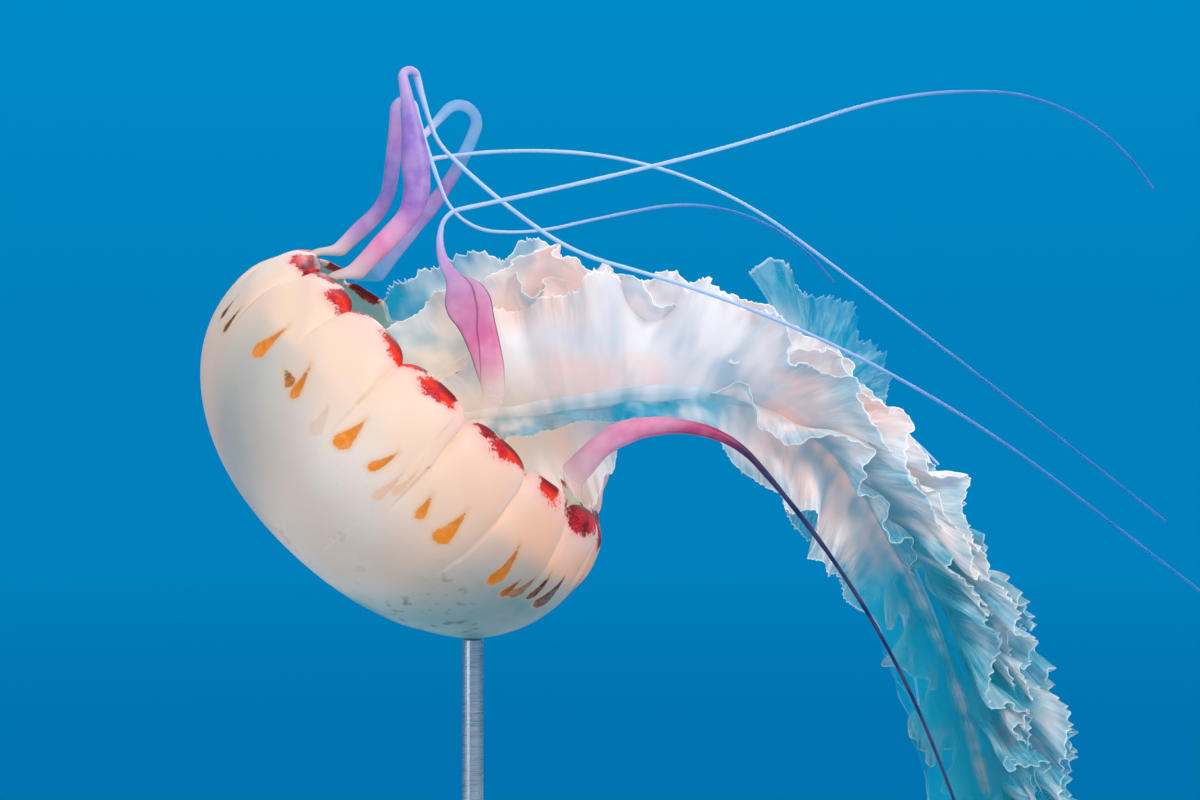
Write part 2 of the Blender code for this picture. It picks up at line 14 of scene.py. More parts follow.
import bpy
import numpy as np
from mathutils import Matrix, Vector


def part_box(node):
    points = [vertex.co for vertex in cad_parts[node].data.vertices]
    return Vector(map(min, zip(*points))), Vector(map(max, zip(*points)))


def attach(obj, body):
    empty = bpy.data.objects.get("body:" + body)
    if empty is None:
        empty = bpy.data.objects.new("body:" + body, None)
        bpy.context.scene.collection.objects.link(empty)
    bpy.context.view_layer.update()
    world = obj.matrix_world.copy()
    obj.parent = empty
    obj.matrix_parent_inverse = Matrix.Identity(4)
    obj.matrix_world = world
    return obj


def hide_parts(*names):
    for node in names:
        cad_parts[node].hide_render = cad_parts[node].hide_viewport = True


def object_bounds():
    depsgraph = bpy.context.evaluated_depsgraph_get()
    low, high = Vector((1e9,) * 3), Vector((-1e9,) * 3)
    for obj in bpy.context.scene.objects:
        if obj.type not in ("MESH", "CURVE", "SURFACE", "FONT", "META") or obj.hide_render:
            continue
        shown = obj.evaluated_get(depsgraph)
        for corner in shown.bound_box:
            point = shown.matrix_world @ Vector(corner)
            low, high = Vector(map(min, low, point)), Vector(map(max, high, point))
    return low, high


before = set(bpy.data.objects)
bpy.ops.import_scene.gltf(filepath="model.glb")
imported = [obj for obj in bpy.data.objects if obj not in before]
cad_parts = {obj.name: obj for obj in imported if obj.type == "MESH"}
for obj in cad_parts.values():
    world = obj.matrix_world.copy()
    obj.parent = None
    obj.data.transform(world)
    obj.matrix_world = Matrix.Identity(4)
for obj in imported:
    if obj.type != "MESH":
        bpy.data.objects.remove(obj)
cad_low, cad_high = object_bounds()

log = logging.getLogger("sea_nettle")
BODY = "root"
MM = 0.001
TURN = 2.0 * math.pi

Array = np.ndarray
Colour = tuple[float, float, float, float]
Stations = Sequence[tuple[float, ...]]
Span = tuple[float, float]
ColourStops = Sequence[tuple[float, Colour]]
Fields = dict[str, Array | float]


class Slot(Enum):
    """The record's material slots; the stand lists the wood and steel ones beside its finishes but assigns
    none of them.
    """

    BELL = "bell"
    MANUBRIUM = "manubrium"
    ARMS = "oral_arms"
    TENTACLES = "tentacles"
    WOOD = "stand_wood"
    STEEL = "stand_steel"


class Cap(Enum):
    """How the open ends of a ringed body are closed."""

    FAN = "fan"
    LADDER = "ladder"


# ---- numbers


def paint(red: int, green: int, blue: int) -> Colour:
    """Turns a colour in display values of 0 to 255 into the linear one that shaders take.

    Args:
        red: The red part.
        green: The green part.
        blue: The blue part.

    Returns:
        The linear colour with an alpha of 1.
    """
    linear = []
    for part in (red, green, blue):
        share = part / 255.0
        linear.append(share / 12.92 if share <= 0.04045 else ((share + 0.055) / 1.055) ** 2.4)
    return (linear[0], linear[1], linear[2], 1.0)


def ease(share: Array) -> Array:
    """Goes smoothly from 0 to 1 as share does, and holds past both."""
    held = np.clip(share, 0.0, 1.0)
    return held * held * (3.0 - 2.0 * held)


def ramp(at: Array, low: float, high: float) -> Array:
    """Goes smoothly from 0 at low to 1 at high."""
    return ease((np.asarray(at, float) - low) / (high - low))


def unit(vectors: Array) -> Array:
    """The vectors at length 1."""
    length = np.linalg.norm(vectors, axis=-1, keepdims=True)
    return vectors / np.maximum(length, 1e-12)


def wander(at: Array, wavelength: float, seed: int, octaves: int = 2) -> Array:
    """An irregular smooth wave that stays within about 1 of 0.

    Args:
        at: Places along the wave.
        wavelength: Its longest wavelength, in the unit of at.
        seed: Chooses the wave.
        octaves: How many halvings of the wavelength are in it.

    Returns:
        The wave's height at each place.
    """
    chance = np.random.default_rng(seed)
    total = np.zeros_like(np.asarray(at, float))
    weight = 0.0
    for octave in range(octaves):
        for _ in range(3):
            stretch = chance.uniform(0.75, 1.35)
            phase = chance.uniform(0.0, TURN)
            total = total + np.sin(TURN * at / (wavelength * stretch) * 2**octave + phase) / 2**octave
            weight += 0.6 / 2**octave
    return total / weight


def soften(values: Array, width: float) -> Array:
    """Averages each row of values with a bell-shaped window.

    Args:
        values: Rows of values.
        width: The window's standard deviation, in columns.

    Returns:
        The softened rows, as long as the given ones.
    """
    reach = int(max(1, round(3 * width)))
    window = np.exp(-0.5 * (np.arange(-reach, reach + 1) / width) ** 2)
    window /= window.sum()
    padded = np.pad(values, ((0, 0), (reach, reach)), mode="reflect", reflect_type="odd")
    return np.stack([np.convolve(row, window, mode="valid") for row in padded])


def at_stations(stations: Stations, at: Array, softness: float) -> list[Array]:
    """The values between stations, with rounded corners.

    Args:
        stations: Rows of a place and its values.
        at: The places asked for.
        softness: How far each corner is rounded, in the unit of the places.

    Returns:
        One array for each value.
    """
    rows = np.array(stations, float)
    taps = (-1.0, -0.5, 0.0, 0.5, 1.0)
    found = []
    for column in range(1, rows.shape[1]):
        total = sum(np.interp(at + tap * softness, rows[:, 0], rows[:, column]) for tap in taps)
        found.append(total / len(taps))
    return found


# ---- meshes


@dataclass
class RingedBody:
    """A closed body through rings of equally many points.

    values are what it is shaded by: each is one number, or an array that spreads over rings and points.
    """

    UV_MARGIN = 0.004

    points: Array
    cap: Cap = Cap.FAN
    values: Fields = field(default_factory=dict)

    def faces(self) -> list[tuple[int, ...]]:
        """The faces between the rings and those of the two caps."""
        rings, around = self.points.shape[:2]
        ring = np.arange(rings - 1)[:, None] * around
        here = np.arange(around)[None, :]
        after = (here + 1) % around
        quads = np.stack([ring + here, ring + after, ring + around + after, ring + around + here], -1)
        made = [tuple(quad) for quad in quads.reshape(-1, 4).tolist()]
        last = (rings - 1) * around
        if self.cap is Cap.LADDER:
            for i in range(around // 2 - 1):
                far = around - 1 - i
                made.append((i, far, far - 1, i + 1))
                made.append((last + i, last + i + 1, last + far - 1, last + far))
            return made
        first_hub = rings * around
        for i in range(around):
            j = (i + 1) % around
            made.append((first_hub, j, i))
            made.append((first_hub + 1, last + i, last + j))
        return made

    def unwrap(self, mesh: bpy.types.Mesh) -> None:
        """Lays the rings out as a sheet in the UV map named OFBake.

        The quads between rings come first. Their second and third corners are the later ones round
        the ring, so at the seam those two lie at the sheet's far side.
        """
        rings, around = self.points.shape[:2]
        corners = np.empty(len(mesh.loops), np.int32)
        mesh.loops.foreach_get("vertex_index", corners)
        order = np.arange(len(corners))
        later = (order % 4 == 1) | (order % 4 == 2)
        seam = later & (corners % around == 0) & (order < 4 * (rings - 1) * around)
        first_hub = rings * around
        hub = corners >= first_hub
        along = np.where(hub, corners - first_hub, (corners // around) / (rings - 1))
        across = np.where(hub, 0.5, (corners % around) / around)
        across = np.where(seam, 1.0, across)
        layer = mesh.uv_layers.new(name="OFBake")
        places = self.UV_MARGIN + (1.0 - 2.0 * self.UV_MARGIN) * np.stack([along, across], -1)
        layer.data.foreach_set("uv", places.astype(np.float32).ravel())

    def mesh(self, name: str) -> bpy.types.Mesh:
        """Builds the mesh, with its values as attributes.

        Args:
            name: The mesh's name.

        Returns:
            The mesh, shaded smooth, its faces turned outward.
        """
        points = self.points.reshape(-1, 3)
        if self.cap is Cap.FAN:
            hubs = np.stack([self.points[0].mean(0), self.points[-1].mean(0)])
            points = np.concatenate([points, hubs])
        made = bpy.data.meshes.new(name)
        made.from_pydata(points.tolist(), [], self.faces())
        made.update()
        for key, value in self.values.items():
            flat = np.broadcast_to(value, self.points.shape[:2])
            ends = [flat[0].mean(), flat[-1].mean()] if self.cap is Cap.FAN else []
            stored = made.attributes.new(key, "FLOAT", "POINT")
            stored.data.foreach_set("value", np.concatenate([flat.ravel(), ends]).astype(np.float32))
        self.unwrap(made)
        if self.volume(points) < 0:
            made.flip_normals()
        made.shade_smooth()
        return made

    def volume(self, points: Array) -> float:
        """Six times the signed volume inside the faces, which is below 0 if they face inward."""
        quads = np.array([face for face in self.faces() if len(face) == 4])
        a, b, c, d = (points[quads[:, corner]] for corner in range(4))
        return float((np.cross(a, b) * c).sum() + (np.cross(a, c) * d).sum())


def link_object(name: str, data: bpy.types.ID) -> bpy.types.Object:
    """Adds an object that holds the data to the scene."""
    made = bpy.data.objects.new(name, data)
    bpy.context.scene.collection.objects.link(made)
    return made


def add_piece(
    name: str, body: RingedBody, finish: bpy.types.Material, replaced: Sequence[str]
) -> None:
    """Adds a piece that rides on the one body.

    Args:
        name: The piece's name.
        body: Its shape.
        finish: Its material.
        replaced: The CAD nodes that the piece stands for.
    """
    mesh = body.mesh(name)
    mesh.materials.append(finish)
    piece = link_object(name, mesh)
    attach(piece, BODY)
    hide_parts(*replaced)
    triangles = sum(len(face) - 2 for face in body.faces())
    log.info("%s: %d triangles, stands for %d nodes", name, triangles, len(replaced))


def sheet_body(middle: Array, thickness: Array, values: Fields) -> RingedBody:
    """A thin closed sheet round a middle surface.

    Args:
        middle: Points in rows across the sheet and columns along it.
        thickness: The thickness at each point or at each row.
        values: Fields that spread over the points.

    Returns:
        The body, its rings running round the sheet's two sides.
    """
    along = np.gradient(middle, axis=1)
    across = np.gradient(middle, axis=0)
    normal = unit(np.cross(along, across))
    offset = normal * np.broadcast_to(thickness, middle.shape[:2])[..., None] / 2.0
    near = np.swapaxes(middle + offset, 0, 1)
    far = np.swapaxes(middle - offset, 0, 1)
    rings = np.concatenate([near, far[:, ::-1]], axis=1)
    doubled = {}
    for key, value in values.items():
        flat = np.swapaxes(np.broadcast_to(value, middle.shape[:2]), 0, 1)
        doubled[key] = np.concatenate([flat, flat[:, ::-1]], axis=1)
    return RingedBody(rings, Cap.LADDER, doubled)


# ---- routes


@dataclass(frozen=True)
class Run:
    """An arc of a path as seen from the front: its length, its turn to the left, its drift away."""

    length: float
    turn: float
    drift: float


class Route:
    """A path of arcs from a start point and heading."""

    STEP = 0.0005

    def __init__(self, start: Array, heading: float, runs: Sequence[Run]) -> None:
        """Lays the path out.

        Args:
            start: The first point.
            heading: The first direction, in radians to the left of +X as seen from the front.
            runs: The arcs in order.
        """
        points = [np.array(start, float)]
        for run in runs:
            steps = max(2, round(run.length / self.STEP))
            turn = math.radians(run.turn) / steps
            length = run.length / steps
            middles = heading + turn * (np.arange(steps) + 0.5)
            drift = np.full(steps, run.drift / steps)
            moves = np.stack([np.cos(middles) * length, drift, np.sin(middles) * length], -1)
            points.extend(points[-1] + np.cumsum(moves, axis=0))
            heading += turn * steps
        self.points = np.array(points)
        steps = np.linalg.norm(np.diff(self.points, axis=0), axis=1)
        self.distances = np.concatenate([[0.0], np.cumsum(steps)])
        self.length = float(self.distances[-1])

    def point(self, distance: Array) -> Array:
        """The points at distances along the path, which goes straight on past its ends."""
        held = np.clip(distance, 0.0, self.length)
        found = np.stack([np.interp(held, self.distances, self.points[:, axis]) for axis in range(3)], -1)
        past = (np.asarray(distance) - held)[..., None]
        first = unit(self.points[1] - self.points[0])
        last = unit(self.points[-1] - self.points[-2])
        return found + np.where(past < 0, past * first, past * last)

    def direction(self, distance: Array, reach: float = 0.0008) -> Array:
        """The path's directions at distances along it."""
        distance = np.asarray(distance, float)
        return unit(self.point(distance + reach) - self.point(distance - reach))


# ---- the bell's shape


@dataclass(frozen=True)
class BellForm:
    """The bell's lean and profile, a dome over an inrolled margin, as the CAD has them."""

    elevation: float = math.radians(47.0)
    turn: float = math.radians(2.0)
    radius: float = 0.087
    height: float = 0.089
    widest: float = 0.028
    margin_radius: float = 0.071
    exponent: float = 2.2
    apex_thickness: float = 0.014
    wall_thickness: float = 0.004
    edge_thickness: float = 0.0022
    cleft_depth: float = 0.30
    first_cleft: float = math.radians(-34.0)
    lappets: int = 16

    @property
    def mouth_axis(self) -> Array:
        """The direction out of the mouth."""
        level = math.cos(self.elevation) * math.cos(self.turn)
        return np.array([level, -math.sin(self.turn), math.sin(self.elevation) * math.cos(self.turn)])

    @property
    def side_axis(self) -> Array:
        """The direction across the mouth, to the lower right."""
        return np.array([math.sin(self.elevation), 0.0, -math.cos(self.elevation)])

    @property
    def front_axis(self) -> Array:
        """The direction across the mouth, to the viewer's side."""
        return np.cross(self.side_axis, self.mouth_axis)

    def offset(self, radius: Array, height: Array, azimuth: Array) -> Array:
        """Points from their place round the axis, as steps from the middle of the mouth."""
        outward = np.multiply.outer(np.cos(azimuth), self.front_axis)
        outward = outward + np.multiply.outer(np.sin(azimuth), self.side_axis)
        return outward * np.asarray(radius)[..., None] - np.multiply.outer(height, self.mouth_axis)

    def mouth_centre(self) -> Array:
        """Where the middle of the mouth is, worked out from the CAD crown's box."""
        low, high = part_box("bell_crown")
        angle, azimuth = np.meshgrid(np.linspace(0, math.pi / 2, 90), np.linspace(0, TURN, 720))
        radius, height = self.profile(angle)
        steps = self.offset(radius, height, azimuth).reshape(-1, 3)
        middle = (np.array(low) + np.array(high)) / 2
        return middle - (steps.min(0) + steps.max(0)) / 2

    def profile(self, angle: Array) -> tuple[Array, Array]:
        """The outer surface: 0 at the apex, a quarter turn at the widest ring, a half at the edge."""
        power = 2.0 / self.exponent
        across = np.maximum(np.sin(angle), 0.0)
        up = np.maximum(np.cos(angle), 0.0)
        dome = angle <= math.pi / 2
        radius = np.where(dome, self.radius * across**power, 0.0)
        rolled = self.margin_radius + (self.radius - self.margin_radius) * across
        radius = np.where(dome, radius, rolled)
        height = self.widest + (self.height - self.widest) * up**power
        height = np.where(dome, height, self.widest * (1.0 + np.cos(angle)))
        return radius, height

    def normal(self, angle: Array) -> tuple[Array, Array]:
        """The outward direction of the profile, as its radius and height parts."""
        small = 2e-3
        before = self.profile(np.clip(angle - small, 1e-3, math.pi))
        after = self.profile(np.clip(angle + small, 2e-3, math.pi))
        run = unit(np.stack([after[0] - before[0], after[1] - before[1]], -1))
        return -run[..., 1], run[..., 0]

    def thickness(self, angle: Array) -> Array:
        """The wall's thickness: thick at the apex, thin at the edge."""
        share = np.maximum(np.cos(angle), 0.0) ** 1.5
        dome = self.wall_thickness + (self.apex_thickness - self.wall_thickness) * share
        past = (angle - math.pi / 2) / (math.pi / 2)
        rolled = self.wall_thickness + (self.edge_thickness - self.wall_thickness) * past
        return np.where(angle <= math.pi / 2, dome, rolled)

    def distance(self, angle: Array) -> Array:
        """The distance from the apex along the profile, in millimetres."""
        grid = np.linspace(0.0, math.pi, 400)
        radius, height = self.profile(grid)
        steps = np.hypot(np.diff(radius), np.diff(height)) / MM
        return np.interp(angle, grid, np.concatenate([[0.0], np.cumsum(steps)]))

    def lappet_place(self, azimuth: Array) -> Array:
        """Azimuths counted in lappets from the first cleft, so that clefts are whole numbers."""
        return (azimuth - self.first_cleft) / (TURN / self.lappets)


BELL = BellForm()
MOUTH_CENTRE = BELL.mouth_centre()


def bell_point(radius: Array, height: Array, azimuth: Array) -> Array:
    """Points in the world from their place round the bell's axis."""
    return MOUTH_CENTRE + BELL.offset(radius, height, azimuth)


# ---- shader parts

BLACK = (0.0, 0.0, 0.0, 1.0)
Socket = bpy.types.NodeSocket
Value = Socket | float | tuple[float, ...]


class Sketch:
    """A node tree with short calls that add nodes and join them."""

    def __init__(self, tree: bpy.types.NodeTree) -> None:
        """Takes the tree to work on."""
        self.tree = tree

    def put(self, socket: Socket, value: Value) -> None:
        """Joins a socket to another one or gives it a value."""
        if isinstance(value, bpy.types.NodeSocket):
            self.tree.links.new(value, socket)
        else:
            socket.default_value = value

    def node(self, kind: str, settings: dict[str, object] | None = None, **inputs: Value) -> bpy.types.Node:
        """Adds a node.

        Args:
            kind: Its type without the ShaderNode prefix.
            settings: Properties to set on it.
            inputs: Values or sockets by input name, with _ for a space.

        Returns:
            The node.
        """
        made = self.tree.nodes.new("ShaderNode" + kind)
        for key, value in (settings or {}).items():
            setattr(made, key, value)
        for key, value in inputs.items():
            self.put(made.inputs[key.replace("_", " ")], value)
        return made

    def attribute(self, name: str) -> Socket:
        """The value that a mesh holds under a name."""
        return self.node("Attribute", {"attribute_name": name}).outputs["Fac"]

    def maths(self, operation: str, *values: Value) -> Socket:
        """The result of a Math node on up to three values."""
        made = self.node("Math", {"operation": operation})
        for socket, value in zip(made.inputs, values):
            self.put(socket, value)
        return made.outputs["Value"]

    def times(self, first: Value, second: Value) -> Socket:
        """Two values multiplied."""
        return self.maths("MULTIPLY", first, second)

    def fit(self, value: Value, low: float, high: float, start: float = 0.0, end: float = 1.0) -> Socket:
        """Maps low to high smoothly onto start to end, and holds past both."""
        made = self.node(
            "MapRange",
            {"interpolation_type": "SMOOTHSTEP"},
            Value=value,
            From_Min=low,
            From_Max=high,
            To_Min=start,
            To_Max=end,
        )
        return made.outputs["Result"]

    def mix(self, share: Value, first: Value, second: Value, blend: str = "MIX") -> Socket:
        """Mixes two colours."""
        made = self.node("Mix", {"data_type": "RGBA", "blend_type": blend})
        self.put(made.inputs["Factor"], share)
        self.put(made.inputs[6], first)
        self.put(made.inputs[7], second)
        return made.outputs[2]

    def noise(self, place: Value, scale: float, detail: float = 3.0, roughness: float = 0.55) -> Socket:
        """Soft noise at a place."""
        made = self.node("TexNoise", Vector=place, Scale=scale, Detail=detail, Roughness=roughness)
        return made.outputs["Fac"]

    def colours(self, share: Value, stops: ColourStops) -> Socket:
        """A colour that goes through stops as share goes from 0 to 1."""
        made = self.node("ValToRGB", Fac=share)
        band = made.color_ramp
        band.interpolation = "EASE"
        while len(band.elements) < len(stops):
            band.elements.new(0.5)
        for element, (place, colour) in zip(band.elements, stops):
            element.position = place
            element.color = colour
        return made.outputs["Color"]

    def mix_shaders(self, share: Value, first: Socket, second: Socket) -> Socket:
        """Mixes two shaders."""
        made = self.node("MixShader")
        for socket, value in zip(made.inputs, (share, first, second)):
            self.put(socket, value)
        return made.outputs["Shader"]

    def stretched(self, place: Value, x: Value, y: Value, z: Value) -> Socket:
        """A place with its three parts multiplied."""
        parts = self.node("SeparateXYZ", Vector=place).outputs
        return self.place(*(self.times(part, by) for part, by in zip(parts, (x, y, z))))

    def position(self) -> Socket:
        """The point in the row frame."""
        return self.node("NewGeometry").outputs["Position"]

    def place(self, x: Value, y: Value, z: Value = 0.0) -> Socket:
        """A vector from three values."""
        return self.node("CombineXYZ", X=x, Y=y, Z=z).outputs["Vector"]


def group_tree(name: str, takes: dict[str, float], gives: Sequence[str]) -> tuple[Sketch, dict, dict]:
    """Starts a shader node group.

    Args:
        name: The group's name.
        takes: Its inputs with their starting values. Place is a vector.
        gives: Its outputs, all of them values.

    Returns:
        The sketch of its tree, its input sockets by name and its output sockets by name.
    """
    tree = bpy.data.node_groups.new(name, "ShaderNodeTree")
    tree.interface.new_socket(name="Place", in_out="INPUT", socket_type="NodeSocketVector")
    for key, value in takes.items():
        socket = tree.interface.new_socket(name=key, in_out="INPUT", socket_type="NodeSocketFloat")
        socket.default_value = value
    for key in gives:
        tree.interface.new_socket(name=key, in_out="OUTPUT", socket_type="NodeSocketFloat")
    inside = tree.nodes.new("NodeGroupInput")
    outside = tree.nodes.new("NodeGroupOutput")
    sources = {socket.name: socket for socket in inside.outputs}
    targets = {socket.name: socket for socket in outside.inputs}
    return Sketch(tree), sources, targets


def crisp_mask_group() -> bpy.types.NodeTree:
    """A mask with a grainy edge from a field that is above 0 inside a mark and counts millimetres."""
    inputs = {"Field": 0.0, "Grain": 0.6, "Softness": 0.35}
    sketch, takes, gives = group_tree("crisp_mask", inputs, ["Mask", "Dots"])
    fine = sketch.noise(takes["Place"], 900.0, 2.0, 0.6)
    broad = sketch.noise(takes["Place"], 260.0, 2.0, 0.5)
    rough = sketch.maths("SUBTRACT", sketch.maths("ADD", fine, broad), 1.0)
    moved = sketch.maths("MULTIPLY_ADD", rough, takes["Grain"], takes["Field"])
    edge = sketch.node("MapRange", {"interpolation_type": "SMOOTHSTEP"}, Value=moved, To_Min=0.0, To_Max=1.0)
    sketch.put(edge.inputs["From Min"], sketch.times(takes["Softness"], -1.0))
    sketch.put(edge.inputs["From Max"], takes["Softness"])
    sketch.put(gives["Mask"], edge.outputs["Result"])
    cells = sketch.node("TexVoronoi", Vector=takes["Place"], Scale=1100.0)
    sketch.put(gives["Dots"], sketch.fit(cells.outputs["Distance"], 0.55, 0.2))
    return sketch.tree


def tissue_group() -> bpy.types.NodeTree:
    """The cloudiness of jelly and the fine fibres that run one way through it."""
    sketch, takes, gives = group_tree("tissue", {"Clouds": 30.0, "Fibres": 1.0}, ["Cloud", "Fibre", "Relief"])
    cloud = sketch.node("TexNoise", Vector=takes["Place"], Scale=takes["Clouds"], Detail=3.0, Roughness=0.5)
    sketch.put(gives["Cloud"], sketch.fit(cloud.outputs["Fac"], 0.3, 0.7))
    fibre = sketch.noise(sketch.stretched(takes["Place"], takes["Fibres"], 1.0, 1.0), 1.0, 4.0, 0.6)
    sketch.put(gives["Fibre"], sketch.fit(fibre, 0.35, 0.68))
    sketch.put(gives["Relief"], sketch.maths("MULTIPLY_ADD", cloud.outputs["Fac"], 0.6, fibre))
    return sketch.tree


GROUP_MAKERS: dict[str, Callable[[], bpy.types.NodeTree]] = {
    "crisp_mask": crisp_mask_group,
    "tissue": tissue_group,
}
GROUPS: dict[str, bpy.types.NodeTree] = {}


def use_group(sketch: Sketch, name: str, **inputs: Value) -> bpy.types.Node:
    """Places a shared node group in a material.

    Args:
        sketch: The material's sketch.
        name: The group's name.
        inputs: Values or sockets by input name.

    Returns:
        The group's node.
    """
    if name not in GROUPS:
        GROUPS[name] = GROUP_MAKERS[name]()
    made = sketch.node("Group", {"node_tree": GROUPS[name]})
    for key, value in inputs.items():
        sketch.put(made.inputs[key], value)
    return made


def new_material(name: str) -> tuple[bpy.types.Material, Sketch, bpy.types.Node]:
    """A material with a plain shader.

    Args:
        name: The material's name.

    Returns:
        The material, a sketch of its nodes and its Principled shader.
    """
    made = bpy.data.materials.new(name)
    made.use_nodes = True
    shader = made.node_tree.nodes["Principled BSDF"]
    return made, Sketch(made.node_tree), shader


def add_relief(sketch: Sketch, shader: bpy.types.Node, height: Value, strength: float, depth: float) -> None:
    """Joins a height to the shader's normal through a Bump node.

    Args:
        sketch: The material's sketch.
        shader: Its Principled shader.
        height: The height to press into the surface.
        strength: How strongly it shows.
        depth: The height of a value of 1, in metres.
    """
    bump = sketch.node("Bump", Height=height, Strength=strength, Distance=depth)
    sketch.put(shader.inputs["Normal"], bump.outputs["Normal"])


@dataclass(frozen=True)
class Flesh:
    """What all wet jelly has in common: light that goes in, and a wet coat."""

    depth: float
    weight: float
    roughness: float
    coat: float
    reach: tuple[float, float, float] = (1.0, 0.62, 0.5)
    ior: float = 1.36
    gloss: float = 0.3
    coat_roughness: float = 0.16

    def set_on(self, shader: bpy.types.Node) -> None:
        """Sets the even values on a shader's own sockets."""
        even = {
            "Subsurface Weight": self.weight,
            "Subsurface Radius": self.reach,
            "Subsurface Scale": self.depth,
            "Roughness": self.roughness,
            "IOR": self.ior,
            "Specular IOR Level": self.gloss,
            "Coat Weight": self.coat,
            "Coat Roughness": self.coat_roughness,
        }
        for name, value in even.items():
            shader.inputs[name].default_value = value


# ---- bell


@dataclass(frozen=True)
class Patch:
    """The coloured patch of a lappet: its half sizes, its place toward the edge, its tone and its tilt."""

    width: float = 8.0
    reach: float = 13.0
    drop: float = 0.0
    tone: float = 0.3
    tilt: float = 0.0


@dataclass(frozen=True)
class Stroke:
    """A drop-shaped mark over a lappet: wide at the apex side, drawn out to a point at the margin's."""

    level: float = 92.0
    length: float = 11.0
    width: float = 2.2
    lean: float = 20.0
    tone: float = 0.3
    weight: float = 1.0


